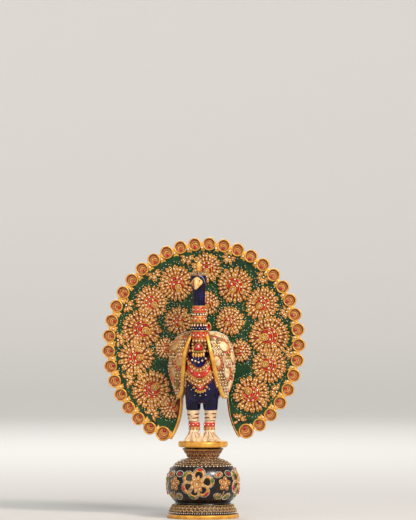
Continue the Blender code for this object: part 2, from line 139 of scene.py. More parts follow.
# Each row: height, outer half width, front edge's half width, front edge's reach forward.
WING = (
    (58.0, 34.5, 33.0, 9.5),
    (61.5, 37.0, 31.6, 11.3),
    (68.0, 40.0, 29.2, 14.0),
    (76.0, 42.4, 27.2, 19.0),
    (90.0, 45.2, 25.0, 28.5),
    (105.0, 46.0, 23.4, 36.0),
    (120.5, 44.2, 21.0, 40.5),
    (134.0, 39.8, 17.6, 38.0),
    (142.5, 32.0, 14.6, 34.0),
    (147.5, 21.0, 12.4, 28.5),
)
WING_WIDEST_Y = -9.6
# Each row: height, forward reach of the middle, half width, half depth.
NECK = (
    (128.0, 24.0, 12.5, 10.0),
    (140.0, 27.0, 11.4, 11.0),
    (150.0, 29.5, 10.4, 11.0),
    (160.0, 30.5, 9.6, 10.0),
    (172.0, 30.8, 8.7, 9.2),
    (188.0, 30.8, 8.4, 8.8),
    (202.0, 31.5, 8.7, 9.4),
    (209.0, 33.2, 9.8, 11.4),
    (216.0, 35.4, 10.8, 13.2),
    (222.0, 35.8, 11.0, 13.0),
    (226.5, 35.2, 9.8, 11.4),
    (229.3, 34.4, 6.8, 8.2),
)
# Each row: forward reach, height, half width, half height of the beak.
BEAK = (
    (40.0, 216.8, 7.6, 6.4),
    (46.5, 216.6, 8.2, 6.5),
    (50.0, 214.9, 7.7, 5.7),
    (53.6, 211.4, 5.3, 4.5),
    (55.8, 208.2, 2.8, 2.7),
    (56.2, 206.0, 1.0, 1.2),
)
CREST = ((226.0, 2.5), (230.0, 2.5), (234.0, 3.0), (238.4, 3.3), (242.6, 2.7), (244.9, 0.9))
CREST_Y = -33.7

# Feather medallions: middle and radius in pixels, and how far the tail reaches, in radii.
MEDALLIONS = (
    (206.6, 267.3, 14.4, 1.0),
    (176.5, 283.3, 17.2, 1.05),
    (234.8, 285.2, 17.4, 1.0),
    (151.1, 302.1, 15.6, 1.2),
    (263.0, 303.1, 15.8, 1.5),
    (178.4, 320.9, 13.4, 1.0),
    (230.1, 320.9, 13.6, 1.1),
    (207.6, 303.1, 11.6, 1.0),
    (140.8, 329.4, 18.6, 1.2),
    (269.6, 336.0, 19.2, 1.15),
    (135.1, 358.5, 16.6, 1.25),
    (269.6, 365.1, 16.8, 1.05),
    (165.2, 348.2, 10.0, 1.0),
    (240.5, 351.0, 10.8, 1.0),
    (151.1, 390.5, 18.6, 1.15),
    (251.8, 394.3, 17.8, 1.05),
    (171.8, 407.4, 11.6, 1.0),
)
# Small sprigs between the medallions and the cups, in pixels.
SPRIGS = (
    (186.9, 257.5),
    (229.3, 256.8),
    (263.5, 277.0),
    (286.5, 311.5),
    (153.5, 273.5),
    (126.0, 305.5),
    (117.5, 340.5),
    (127.0, 380.5),
    (276.5, 391.5),
    (239.0, 420.0),
    (151.5, 414.5),
    (291.0, 352.5),
)
# The red leaf beside the neck.
RED_LEAF_PIXEL = (208.6, 332.0)

scene = bpy.context.scene
random.seed(7)


# Small helpers.


def linear(red, green, blue):
    """A colour given in the usual 0 to 255 steps, as the shader wants it."""
    return tuple(((c / 255 + 0.055) / 1.055) ** 2.4 if c > 10 else c / 3295 for c in (red, green, blue))


def curve_through(before, start, end, after, t):
    """A Catmull-Rom curve between start and end."""
    slope_in = (end - before) / 2
    slope_out = (after - start) / 2
    blend = t * t * (3 - 2 * t)
    bend = slope_in * t * (1 - t) ** 2 - slope_out * t * t * (1 - t)
    return start * (1 - blend) + end * blend + bend


def smooth_rows(rows, steps):
    """Rows between the given ones, on a curve that passes through them."""
    made = [tuple(rows[0])]
    last = len(rows) - 1
    for i in range(last):
        around = [rows[max(0, min(last, i + k))] for k in (-1, 0, 1, 2)]
        for step in range(1, steps + 1):
            made.append(tuple(curve_through(*column, step / steps) for column in zip(*around)))
    return made


def row_at(rows, height):
    """The row of a table at a height, straight between its neighbours."""
    for low, high in zip(rows, rows[1:]):
        if low[0] <= height <= high[0]:
            t = (height - low[0]) / (high[0] - low[0])
            return tuple(a + (b - a) * t for a, b in zip(low, high))
    return None


def superellipse(share, squareness):
    """A closed curve between an ellipse and a rectangle."""
    return max(0.0, 1.0 - abs(share) ** squareness) ** (1.0 / squareness)


def circle(x, y, z, half_width, half_depth, count):
    """A level ring of points, round or oval."""
    turns = [math.tau * i / count for i in range(count)]
    return [Vector((x + half_width * math.cos(a), y + half_depth * math.sin(a), z)) for a in turns]


# Paints.


def paint(
    name, main, other, roughness, metallic=0.0, coat=0.0, patch=6.0, grain=0.8, relief=0.12, specular=0.5
):
    """A brushed paint: two tones in soft patches, fine specks, a fine bump and uneven gloss."""
    made = bpy.data.materials.new(name)
    made.use_nodes = True
    nodes = made.node_tree.nodes
    links = made.node_tree.links
    shader = nodes["Principled BSDF"]
    shader.inputs["Metallic"].default_value = metallic
    shader.inputs["Coat Weight"].default_value = coat
    shader.inputs["Specular IOR Level"].default_value = specular
    shader.inputs["Coat Roughness"].default_value = 0.12
    where = nodes.new("ShaderNodeTexCoord")

    def noise(size, detail):
        made_noise = nodes.new("ShaderNodeTexNoise")
        made_noise.inputs["Scale"].default_value = 1.0 / (size * MM)
        made_noise.inputs["Detail"].default_value = detail
        links.new(where.outputs["Object"], made_noise.inputs["Vector"])
        return made_noise

    patches = noise(patch, 4.0)
    tones = nodes.new("ShaderNodeValToRGB")
    tones.color_ramp.elements[0].position = 0.36
    tones.color_ramp.elements[0].color = (*linear(*other), 1.0)
    tones.color_ramp.elements[1].position = 0.6
    tones.color_ramp.elements[1].color = (*linear(*main), 1.0)
    links.new(patches.outputs["Fac"], tones.inputs["Fac"])
    specks = noise(grain, 2.0)
    shade = nodes.new("ShaderNodeMapRange")
    shade.inputs["From Min"].default_value = 0.3
    shade.inputs["From Max"].default_value = 0.7
    shade.inputs["To Min"].default_value = 0.82
    shade.inputs["To Max"].default_value = 1.08
    links.new(specks.outputs["Fac"], shade.inputs["Value"])
    mixed = nodes.new("ShaderNodeMix")
    mixed.data_type = "RGBA"
    mixed.blend_type = "MULTIPLY"
    mixed.inputs["Factor"].default_value = 1.0
    links.new(tones.outputs["Color"], mixed.inputs["A"])
    links.new(shade.outputs["Result"], mixed.inputs["B"])
    links.new(mixed.outputs["Result"], shader.inputs["Base Color"])
    gloss = nodes.new("ShaderNodeMapRange")
    gloss.inputs["To Min"].default_value = max(0.02, roughness - 0.08)
    gloss.inputs["To Max"].default_value = roughness + 0.08
    links.new(patches.outputs["Fac"], gloss.inputs["Value"])
    links.new(gloss.outputs["Result"], shader.inputs["Roughness"])
    bump = nodes.new("ShaderNodeBump")
    bump.inputs["Strength"].default_value = 0.5
    bump.inputs["Distance"].default_value = relief * MM
    links.new(specks.outputs["Fac"], bump.inputs["Height"])
    links.new(bump.outputs["Normal"], shader.inputs["Normal"])
    return made


PAINTS = {
    "gold": paint("gold_paint", (236, 178, 76), (214, 146, 52), 0.34, metallic=0.35, patch=9.0),
    "relief_gold": paint("relief_gold", (212, 146, 56), (172, 104, 34), 0.42, metallic=0.2, patch=4.0),
    "pale_gold": paint("pale_gold", (230, 176, 84), (198, 136, 50), 0.36, metallic=0.25, patch=5.0),
    "hollow": paint("relief_hollow", (160, 88, 34), (116, 54, 20), 0.5, patch=3.0),
    "deep": paint("deep_hollow", (72, 38, 18), (40, 20, 10), 0.5, patch=3.0),
    "pot_gold": paint("pot_gold", (212, 160, 88), (170, 112, 52), 0.38, metallic=0.2, patch=3.0),
    "aged_gold": paint("aged_gold", (178, 138, 80), (116, 84, 46), 0.4, metallic=0.15, patch=2.5),
    "ground": paint("red_brown_ground", (124, 52, 24), (84, 30, 16), 0.55, patch=4.0, specular=0.3),
    "dark_red": paint("dark_red_line", (120, 26, 16), (84, 14, 12), 0.4, patch=4.0),
    "red": paint("red_enamel", (196, 14, 18), (160, 8, 14), 0.24, coat=0.4, patch=4.0),
    "bright_red": paint("bright_red", (206, 40, 22), (172, 24, 16), 0.28, coat=0.3, patch=4.0),
    "green": paint(
        "green_ground", (20, 64, 30), (11, 40, 18), 0.46, patch=7.0, grain=1.2, relief=0.3, specular=0.3
    ),
    "back_green": paint("back_green", (24, 62, 32), (15, 42, 22), 0.5, patch=14.0, grain=1.4, relief=0.2),
    "leaf_green": paint("leaf_green", (96, 122, 30), (60, 92, 24), 0.25, coat=0.4, patch=3.0),
    "olive": paint("olive_gold", (172, 138, 46), (128, 98, 30), 0.36, metallic=0.3, patch=3.0),
    "navy": paint(
        "navy_glaze", (16, 12, 66), (6, 5, 26), 0.26, coat=0.1, patch=12.0, grain=1.2, specular=0.22
    ),
    "cream": paint("cream_paint", (232, 208, 166), (206, 172, 124), 0.4, patch=6.0),
    # Cream darkened as painted shade, for the bird's right wing, which faces away from the light.
    "ochre_cream": paint("ochre_cream", (208, 168, 116), (174, 126, 76), 0.4, patch=6.0),
    "skin": paint("leg_paint", (228, 200, 162), (194, 158, 116), 0.42, patch=4.0),
    "wing_ground": paint("wing_ground", (158, 104, 54), (104, 58, 28), 0.48, patch=4.0),
    "beak": paint("beak_paint", (234, 200, 132), (200, 146, 70), 0.3, coat=0.2, patch=6.0),
    "white": paint("white_stone", (246, 236, 218), (216, 202, 178), 0.12, coat=0.4, patch=2.0, relief=0.02),
    "black": paint(
        "black_lacquer", (30, 18, 13), (13, 8, 6), 0.27, coat=0.2, patch=7.0, relief=0.2, specular=0.3
    ),
    "cup_wall": paint("cup_wall", (170, 94, 42), (126, 60, 24), 0.42, metallic=0.1, patch=4.0),
    "cup_deep": paint("cup_deep", (222, 156, 74), (184, 112, 48), 0.38, metallic=0.15, patch=4.0),
    # Pale blue for a painted highlight on the head.
    "sky": paint("pale_blue_highlight", (150, 160, 190), (110, 120, 160), 0.3, patch=4.0),
    "skin_line": paint("toe_line", (132, 62, 38), (96, 42, 26), 0.5, patch=4.0),
}


# Collecting shapes into pieces.


class Work:
    """Closed shapes kept as one mesh, each face with its own paint."""

    def __init__(self):
        self.points = []
        self.faces = []
        self.paints = []
        self.smooth = []

    def add(self, shape, place=None):
        """Adds a shape: its points, and faces that each have a paint and are smooth or not."""
        points, faces = shape
        start = len(self.points)
        self.points.extend(points if place is None else [place @ p for p in points])
        for corners, name, smooth in faces:
            self.faces.append([start + c for c in corners])
            self.paints.append(name)
            self.smooth.append(smooth)

    def piece(self, name, stands_for=None):
        """Makes the mesh, which rides on the part's one body."""
        mesh = bpy.data.meshes.new(name)
        mesh.from_pydata([p * MM for p in self.points], [], self.faces)
        used = sorted(set(self.paints))
        for paint_name in used:
            mesh.materials.append(PAINTS[paint_name])
        mesh.polygons.foreach_set("material_index", [used.index(p) for p in self.paints])
        mesh.polygons.foreach_set("use_smooth", self.smooth)
        data = bmesh.new()
        data.from_mesh(mesh)
        bmesh.ops.recalc_face_normals(data, faces=data.faces)
        data.to_mesh(mesh)
        data.free()
        mesh.update()
        return placed(name, mesh, stands_for)


def placed(name, mesh, stands_for=None):
    """An object of the mesh that rides on the body and hides the part's node that it stands for."""
    made = bpy.data.objects.new(name, mesh)
    scene.collection.objects.link(made)
    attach(made, "root")
    if stands_for:
        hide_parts(stands_for)
    return made


def stacked(rings, names, smooth=True):
    """A closed shape through rings of equal length: a paint for each band and one for the top."""
    count = len(rings[0])
    points = [Vector(p) for ring in rings for p in ring]
    faces = [(list(range(count))[::-1], names[0], False)]
    for level in range(len(rings) - 1):
        low = level * count
        high = low + count
        for i in range(count):
            j = (i + 1) % count
            faces.append(([low + i, low + j, high + j, high + i], names[level], smooth))
    last = (len(rings) - 1) * count
    faces.append(([last + i for i in range(count)], names[-1], smooth and len(rings) > 3))
    return points, faces


def lathe(profile, names, count, x=0.0, y=0.0):
    """A turned body from (radius, height) rows."""
    return stacked([circle(x, y, z, r, r, count) for r, z in profile], [*names, names[-1]])


def standing(point, normal, along, across_size=1.0, along_size=1.0, rise=1.0):
    """The place of a shape that lies on a surface, points along a direction and rises along the normal."""
    normal = normal.normalized()
    forward = along - normal * along.dot(normal)
    forward.normalize()
    side = forward.cross(normal)
    columns = (side * across_size, forward * along_size, normal * rise, point)
    return Matrix([(*(c[row] for c in columns),) for row in range(3)] + [(0, 0, 0, 1)])


def leaf_outline(length, width, fullness=0.55):
    """Half outlines of a leaf that stands on the origin and points along +Y."""
    right = []
    for t, w in ((0.1, 0.55), (0.34, 0.96), (fullness, 1.0), (0.8, 0.6)):
        right.append((width / 2 * w, length * t))
    left = [(-x, y) for x, y in reversed(right)]
    return [(0.0, 0.0), *right, (0.0, length), *left]


def inward(outline, middle, share):
    """The outline drawn in towards a middle."""
    return [(middle[0] + (x - middle[0]) * share, middle[1] + (y - middle[1]) * share) for x, y in outline]


def leaf(length, width, rise, rim="relief_gold", hollow="hollow", open_share=0.5):
    """A pointed leaf with a raised rim round a sunk middle."""
    outline = leaf_outline(length, width)
    middle = (0.0, length * 0.46)
    rings = [
        [(x, y, -0.6) for x, y in outline],
        [(x, y, rise * 0.35) for x, y in outline],
        [(x, y, rise) for x, y in inward(outline, middle, 0.8)],
        [(x, y, rise * 0.5) for x, y in inward(outline, middle, open_share)],
    ]
    return stacked(rings, [rim, rim, rim, hollow])


def disc_ring(radius, z, count):
    """A level ring of points about the origin."""
    turns = [math.tau * i / count for i in range(count)]
    return [(radius * math.cos(a), radius * math.sin(a), z) for a in turns]


def stone(radius, name="white", setting="relief_gold", rise=1.0):
    """A cut stone in a low round setting."""
    rows = (
        (radius * 1.34, -0.5),
        (radius * 1.26, 0.35 * rise),
        (radius * 1.02, 0.42 * rise),
        (radius * 0.96, (0.3 + 0.32 * radius) * rise),
        (radius * 0.56, (0.3 + 0.72 * radius) * rise),
    )
    rings = [disc_ring(r, z, 8) for r, z in rows]
    return stacked(rings, [setting, setting, name, name, name], smooth=False)


def bead(radius, name="white", rise=1.0):
    """A small round bead, half sunk."""
    rows = ((0.9, -0.4), (1.0, 0.1), (0.8, 0.62), (0.4, 0.9))
    rings = [disc_ring(radius * w, radius * h * rise, 8) for w, h in rows]
    return stacked(rings, [name] * 4)


BAND_SECTION = ((-1.0, -1.0), (-1.0, 0.25), (-0.62, 0.9), (0.0, 1.0), (0.62, 0.9), (1.0, 0.25), (1.0, -1.0))
FLAT_SECTION = (
    (-1.0, -1.0), (-1.0, 0.5), (-0.95, 1.0), (-0.5, 1.0), (0.5, 1.0), (0.95, 1.0), (1.0, 0.5), (1.0, -1.0)
)


def value_at(values, i):
    """A band's width or rise at a point of its path: one number for all points, or one for each."""
    return values[i] if hasattr(values, "__len__") else values


def band_ring(point, side, normal, half, rise, sink, section):
    """The section of a band at one point of its path."""
    ring = []
    for across, up in section:
        height = rise * up if up > 0 else sink * up
        ring.append(point + side * (half * across) + normal * height)
    return ring


def band(path, half_widths, rises, name, sink=0.5, section=BAND_SECTION):
    """A raised band along a path of (point, normal), with its width and rise at each point."""
    rings = []
    last = len(path) - 1
    for i, (point, normal) in enumerate(path):
        ahead = path[min(last, i + 1)][0] - path[max(0, i - 1)][0]
        side = ahead.cross(normal)
        side.normalize()
        half = value_at(half_widths, i)
        rise = value_at(rises, i)
        rings.append(band_ring(point, side, normal, half, rise, sink, section))
    return stacked(rings, [name] * len(rings))


def closed_band(path, half_widths, rise, name, sink=0.5, section=BAND_SECTION):
    """A raised band that runs round and meets itself."""
    count = len(path)
    size = len(section)
    points = []
    for i, (point, normal) in enumerate(path):
        ahead = path[(i + 1) % count][0] - path[i - 1][0]
        side = ahead.cross(normal)
        side.normalize()
        points += band_ring(point, side, normal, value_at(half_widths, i), rise, sink, section)
    faces = []
    for i in range(count):
        j = (i + 1) % count
        for k in range(size):
            m = (k + 1) % size
            faces.append(([i * size + k, i * size + m, j * size + m, j * size + k], name, True))
    return points, faces


# Shapes that are used many times.

STONE = stone(1.12)
SMALL_STONE = stone(0.9)
WEB_STONE = stone(1.25, setting="pale_gold")
PIN = bead(0.6)
DOT = bead(0.55)
GOLD_DOT = bead(0.6, "pale_gold")
LOBE = bead(1.5, "bright_red", 0.9)
LEAVES = [
    leaf(8.0, 4.2, 1.5),
    leaf(8.0, 3.8, 1.6, open_share=0.42),
    leaf(8.0, 4.4, 1.4, rim="pale_gold", open_share=0.56),
]
CORE_LEAF = leaf(6.0, 3.2, 1.2, rim="pale_gold", hollow="deep", open_share=0.45)
BIG_RED_LEAF = leaf(14.0, 8.0, 1.6, rim="pale_gold", hollow="red", open_share=0.72)
BACK_LEAF = leaf(7.4, 3.6, 0.5, rim="relief_gold", hollow="back_green", open_share=0.5)
SCALE = leaf(7.6, 4.4, 1.3, rim="aged_gold", hollow="deep", open_share=0.44)
OVAL = leaf(4.9, 4.4, 0.9, rim="aged_gold", open_share=0.5, hollow="dark_red")
POD = leaf(11.2, 6.4, 0.9, open_share=0.66, rim="pot_gold", hollow="deep")
FLOWER_LEAF = leaf(8.0, 5.0, 1.1, rim="pot_gold", open_share=0.4)
MARQUISE = {
    name: leaf(5.9, 2.6, 0.75, rim=name, hollow=name, open_share=0.4) for name in ("red", "leaf_green")
}
PETAL_ROWS = ((1.0, -0.4), (1.0, 0.45), (0.86, 0.9), (0.7, 0.55), (0.3, 0.7))
PETAL_PAINTS = ["pot_gold", "pot_gold", "pot_gold", "hollow", "hollow"]
ROUND_PETAL = stacked([disc_ring(3.5 * w, h, 20) for w, h in PETAL_ROWS], PETAL_PAINTS)
TINY_LEAF = leaf(3.4, 2.2, 0.6, open_share=0.35)
RED_LEAF = leaf(3.8, 2.6, 0.6, rim="bright_red", hollow="red", open_share=0.35)
DROP = leaf(4.6, 2.6, 1.1, rim="white", hollow="white", open_share=0.4)
FRINGE = leaf(6.2, 3.0, 1.3, rim="pale_gold", open_share=0.35)
BREAST_LEAF = leaf(5.4, 3.6, 1.2, open_share=0.4)
CROWN_LEAF = leaf(6.4, 2.8, 1.2, rim="aged_gold", hollow="cream", open_share=0.35)
EYE_WHITE = leaf(7.2, 4.2, 0.5, rim="pale_gold", hollow="cream", open_share=0.75)
WING_LEAF = leaf(5.6, 3.6, 1.1, rim="aged_gold", hollow="deep", open_share=0.42)
WING_LEAF_DARK = leaf(5.2, 3.4, 1.0, rim="pale_gold", open_share=0.5, hollow="deep")
WING_LEAF_CREAM = leaf(5.6, 3.4, 1.1, rim="cream", hollow="wing_ground", open_share=0.4)
# A cream leaf with painted shade, for the bird's right wing.
WING_LEAF_SHADED = leaf(5.6, 3.4, 1.1, rim="ochre_cream", hollow="wing_ground", open_share=0.4)
LEFT_WING_LEAVES = (WING_LEAF, WING_LEAF_DARK, WING_LEAF, WING_LEAF_SHADED)
RIGHT_WING_LEAVES = (WING_LEAF, WING_LEAF_DARK, WING_LEAF_CREAM, WING_LEAF_CREAM)

# Tail plate.


def fan_point(turn, share, depth):
    """A point of the tail plate: turn from the top, share of the plate, depth along Y."""
    angle = math.radians(turn + FAN_ROLL) - FAN_TILT
    across = FAN_HALF_WIDTH * share * math.sin(angle)
    along = FAN_HALF_HEIGHT * share * math.cos(angle)
    x = across * math.cos(FAN_TILT) + along * math.sin(FAN_TILT)
    return Vector((x, depth, FAN_CENTRE_Z + along * math.cos(FAN_TILT) - across * math.sin(FAN_TILT)))


def fan_share(x, z):
    """The share of the plate on which the point (x, z) lies."""
    across = x * math.cos(FAN_TILT) - (z - FAN_CENTRE_Z) * math.sin(FAN_TILT)
    along = x * math.sin(FAN_TILT) + (z - FAN_CENTRE_Z) * math.cos(FAN_TILT)
    return math.hypot(across / FAN_HALF_WIDTH, along / FAN_HALF_HEIGHT)


def fan_front(share):
    """Y of the plate's front."""
    bend = max(0.0, share - FAN_FLAT_SHARE) / (1.0 - FAN_FLAT_SHARE)
    return FAN_FRONT_Y - FAN_DISH * bend * bend


def fan_back(share):
    """Y of the plate's back."""
    return fan_front(share) + FAN_THICKNESS - FAN_THINNING * min(1.0, share)


def notch_half_width(share):
    """Half the notch's width where it cuts the ring at a share of the plate."""
    depth = (share - NOTCH_SHARE) / (1.0 - NOTCH_SHARE)
    return NOTCH_HALF_WIDTH + NOTCH_WIDENING * depth**NOTCH_FLARE


def end_turn(share):
    """The angle from the top at which the plate stops beside the notch."""
    return 180.0 - math.degrees(math.asin(notch_half_width(share) / (FAN_HALF_WIDTH * share)))


def on_fan(x, z):
    """The point of the plate's front at (x, z), and the normal there."""
    y = fan_front(fan_share(x, z))
    slope_x = fan_front(fan_share(x + 1, z)) - y
    slope_z = fan_front(fan_share(x, z + 1)) - y
    return Vector((x, y, z)), Vector((slope_x, -1.0, slope_z)).normalized()


def fan_place(pixel_x, pixel_y):
    """Where on the plate's front a photograph pixel lies, as (x, z)."""
    z = (GROUND_PIXEL - pixel_y) * MM_PER_PIXEL
    y = FAN_FRONT_Y
    for _ in range(3):
        x = ((pixel_x - AXIS_PIXEL) * MM_PER_PIXEL - y * math.sin(VIEW_ANGLE)) / math.cos(VIEW_ANGLE)
        y = fan_front(fan_share(x, z))
    return x, z


def rim_share(turn):
    """How far the plate reaches at a turn: to the middle of the gaps, and only to the wall of the cups."""
    share = 1.0
    for i in range(CUP_COUNT):
        cup_turn = (i - (CUP_COUNT - 1) / 2) * CUP_PITCH
        if abs(turn - cup_turn) > CUP_PITCH:
            continue
        middle, scale, _ = cup_place(i)
        wall = (CUP_RADIUS - CUP_WALL) * scale
        spot = fan_point(turn, share, 0.0)
        while (spot - middle).length < wall and share > 0.9:
            share -= 0.002
            spot = fan_point(turn, share, 0.0)
    return share


def make_plate():
    """The dished oval plate, green in front and behind, with a gold edge and gold notch walls."""
    columns = 430
    notch_columns = 24
    points = []
    faces = []

    def keep(row):
        start = len(points)
        points.extend(row)
        return list(range(start, start + len(row)))

    last_turn = end_turn(1.0)
    rims = [rim_share(-last_turn + 2 * last_turn * i / columns) for i in range(columns + 1)]

    def ring(share, level, rim_part, drop):
        end = end_turn(share)
        row = []
        for i in range(columns + 1):
            reach = share + (rims[i] - share) * rim_part
            turn_end = end_turn(reach) if rim_part else end
            row.append(fan_point(-turn_end + 2 * turn_end * i / columns, reach, level(reach) + drop))
        return row

    def disc(share, level):
        end = end_turn(NOTCH_SHARE)
        turns = [-end + 2 * end * i / columns for i in range(columns + 1)]
        turns += [end + 2 * (180.0 - end) * i / notch_columns for i in range(1, notch_columns)]
        return [fan_point(t, share, level(share)) for t in turns]

    shares = [0.56 + 0.04 * i for i in range(9)] + [0.905]
    borders = []
    for front in (True, False):
        level = fan_front if front else fan_back
        inwards = 1.0 if front else -1.0
        field = "green" if front else "back_green"
        rings = [keep(disc(share, level)) for share in (0.1, 0.26, 0.4, NOTCH_SHARE)]
        middle = keep([fan_point(0, 0, level(0))])[0]
        size = len(rings[0])
        for i in range(size):
            faces.append(([middle, rings[0][i], rings[0][(i + 1) % size]], field, True))
        for low, high in zip(rings, rings[1:]):
            for i in range(size):
                j = (i + 1) % size
                faces.append(([low[i], low[j], high[j], high[i]], field, True))
        rows = [(share, 0.0, 0.0) for share in shares]
        rows += [(0.905, part, 0.0) for part in (0.3, 0.6, 0.9)]
        rows += [(0.905, 0.98, 0.5 * inwards), (0.905, 1.0, 2.2 * inwards)]
        low = rings[-1][: columns + 1]
        plate = [low]
        for share, part, drop in rows:
            high = keep(ring(share, level, part, drop))
            for i in range(columns):
                gold = part > 0.5 and rims[i] > 0.968
                name = "gold" if gold or drop else field
                faces.append(([low[i], low[i + 1], high[i + 1], high[i]], name, True))
            low = high
            plate.append(high)
        borders.append((plate, [rings[-1][columns], *rings[-1][columns + 1 :], rings[-1][0]]))
    (front_plate, front_notch), (back_plate, back_notch) = borders
    for near, far in ((front_plate[-1], back_plate[-1]), (front_notch, back_notch)):
        for i in range(len(near) - 1):
            faces.append(([near[i], near[i + 1], far[i + 1], far[i]], "gold", True))
    for column in (0, -1):
        near = [row[column] for row in front_plate]
        far = [row[column] for row in back_plate]
        for i in range(len(near) - 1):
            faces.append(([near[i], near[i + 1], far[i + 1], far[i]], "gold", True))
    work = Work()
    work.add((points, faces))
    made = work.piece("tail_plate", "tail_fan")
    turn_faces_out(made)
    return made


def turn_faces_out(made):
    """Makes all faces of a piece point out."""
    data = bmesh.new()
    data.from_mesh(made.data)
    bmesh.ops.remove_doubles(data, verts=data.verts, dist=1e-7)
    bmesh.ops.recalc_face_normals(data, faces=data.faces)
    data.to_mesh(made.data)
    data.free()


def cup_place(i):
    """Middle, scale and turn of a cup."""
    turn = (i - (CUP_COUNT - 1) / 2) * CUP_PITCH
    scale, share = (1.14, 0.978) if i in (0, CUP_COUNT - 1) else (1.0, 1.0)
    return fan_point(turn, share, 0.0), scale, turn


def make_cups():
    """The dished cups on the edge, with their ring-shaped steps round a red boss."""
    work = Work()
    front = fan_front(1.0) - 1.1
    back = fan_back(1.0) - 0.6
    centre = Vector((0.0, 0.0, FAN_CENTRE_Z))
    # Each row: radius, depth behind the cup's front, share of the way to the boss, paint of the next band.
    rows = (
        (7.2, back - front, 0.0, "gold"),
        (7.6, back - front - 0.6, 0.0, "gold"),
        (8.95, 3.6, 0.0, "gold"),
        (CUP_RADIUS, 1.6, 0.0, "gold"),
        (8.75, 0.6, 0.0, "gold"),
        (8.2, 0.05, 0.0, "pale_gold"),
        (7.6, 0.3, 0.0, "gold"),
        (7.2, 1.2, 0.0, "dark_red"),
        (6.5, 2.6, 0.1, "cup_wall"),
        (5.5, 2.5, 0.3, "pale_gold"),
        (5.15, 2.35, 0.36, "dark_red"),
        (4.5, 2.9, 0.48, "cup_deep"),
        (3.7, 2.75, 0.62, "pale_gold"),
        (3.4, 2.6, 0.68, "dark_red"),
        (2.8, 3.1, 0.78, "cup_deep"),
        (2.2, 3.0, 0.9, "dark_red"),
        (1.8, 2.95, 0.98, "red"),
        (1.65, 2.4, 1.0, "red"),
        (1.1, 1.9, 1.0, "red"),
        (0.5, 1.7, 1.0, "red"),
    )
    for i in range(CUP_COUNT):
        middle, scale, _ = cup_place(i)
        towards = centre - middle
        towards.y = 0.0
        towards.normalize()
        rings = []
        for radius, depth, share, _ in rows:
            place = middle + towards * (BOSS_SHIFT * share * scale)
            ring = []
            for k in range(28):
                a = math.tau * k / 28
                offset = Vector((math.cos(a), 0, math.sin(a))) * radius * scale
                ring.append(place + offset + Vector((0, front + depth, 0)))
            rings.append(ring)
        work.add(stacked(rings, [row[3] for row in rows]))
    return work.piece("tail_cups")


def wing_half_width(z):
    """How far the bird reaches to each side at a height, or 0 where it doesn't."""
    height = z - PLINTH_TOP
    wing = row_at(WING, height)
    if wing:
        return wing[1]
    torso = row_at(TORSO, height)
    return torso[1] if torso else 0.0


def behind_bird(x, z):
    """Whether the bird hides a point of the plate."""
    return abs(x) < wing_half_width(z) - 2.5


def in_notch(x, z):
    """Whether a point lies in the notch or on the border beside it."""
    share = fan_share(x, z)
    if share < NOTCH_SHARE + 0.01 or z > FAN_CENTRE_Z:
        return False
    return abs(x) < notch_half_width(min(1.0, share)) + NOTCH_BORDER


class Medallion:
    """One feather eye of the tail: a teardrop field of petals round a paisley heart."""

    def __init__(self, pixel_x, pixel_y, radius, tail):
        self.x, self.z = fan_place(pixel_x, pixel_y)
        self.radius = radius * MM_PER_PIXEL * 1.04
        self.tail = tail
        self.limits = []
        inwards = Vector((0.0 - self.x, 0.0, FAN_CENTRE_Z - 6.0 - self.z))
        if inwards.length < 40.0:
            inwards = Vector((0.25 * -self.x, 0.0, -30.0))
        self.out = -inwards.normalized()
        self.side = Vector((self.out.z, 0.0, -self.out.x))

    def contour(self, angle):
        """Distance from the middle to the petals' tips, at an angle from straight outward."""
        off_tail = abs(angle % math.tau - math.pi)
        opening = math.acos(1.0 / max(1.0, self.tail))
        reach = self.radius
        if off_tail < opening:
            reach = self.radius / math.cos(opening - off_tail)
        way = self.side * math.sin(angle) + self.out * math.cos(angle)
        for towards, limit in self.limits:
            facing = way.dot(towards)
            if facing > 0.05:
                reach = min(reach, limit / facing)
        while reach > 4.0 and fan_share(self.x + way.x * reach, self.z + way.z * reach) > 0.932:
            reach -= 0.3
        return reach

    def give_way(self, others):
        """Keeps the contour on its own side of the line halfway to each neighbour."""
        for other in others:
            gap = Vector((other.x - self.x, 0.0, other.z - self.z))
            apart = gap.length
            limit = (apart * apart + self.radius**2 - other.radius**2) / (2 * apart) + 0.6
            if limit < self.radius * self.tail:
                self.limits.append((gap / apart, limit))

    def spot(self, across, outward):
        """The surface point and normal at a place given in radii."""
        flat = self.side * (across * self.radius) + self.out * (outward * self.radius)
        return on_fan(self.x + flat.x, self.z + flat.z)

    def polar(self, angle, distance):
        """As spot, at an angle from outward and a distance in radii."""
        return self.spot(math.sin(angle) * distance, math.cos(angle) * distance)

    def holds(self, x, z, share):
        """Whether the point lies inside the contour drawn at a share of its size."""
        offset = Vector((x - self.x, 0.0, z - self.z))
        angle = math.atan2(offset.dot(self.side), offset.dot(self.out))
        return offset.length < self.contour(angle) * share


def free_spot(point, others=(), share=1.0):
    """Whether a point of the plate is clear of the cups, the notch, the bird and other medallions."""
    if behind_bird(point.x, point.z) or in_notch(point.x, point.z):
        return False
    if fan_share(point.x, point.z) > 0.945:
        return False
    return not any(other.holds(point.x, point.z, share) for other in others)


def arc_path(medallion, middle, radius, start, end, count):
    """Points and normals on a medallion along an arc, in radii and degrees from outward."""
    path = []
    for i in range(count):
        a = math.radians(start + (end - start) * i / (count - 1))
        spot = medallion.spot(middle[0] + math.sin(a) * radius, middle[1] + math.cos(a) * radius)
        path.append(spot)
    return path


def taper(count, most, least=0.15):
    """Widths that swell in the middle of a path."""
    swell = [max(0.0, math.sin(math.pi * i / (count - 1))) ** 0.7 for i in range(count)]
    return [most * (least + (1 - least) * s) for s in swell]


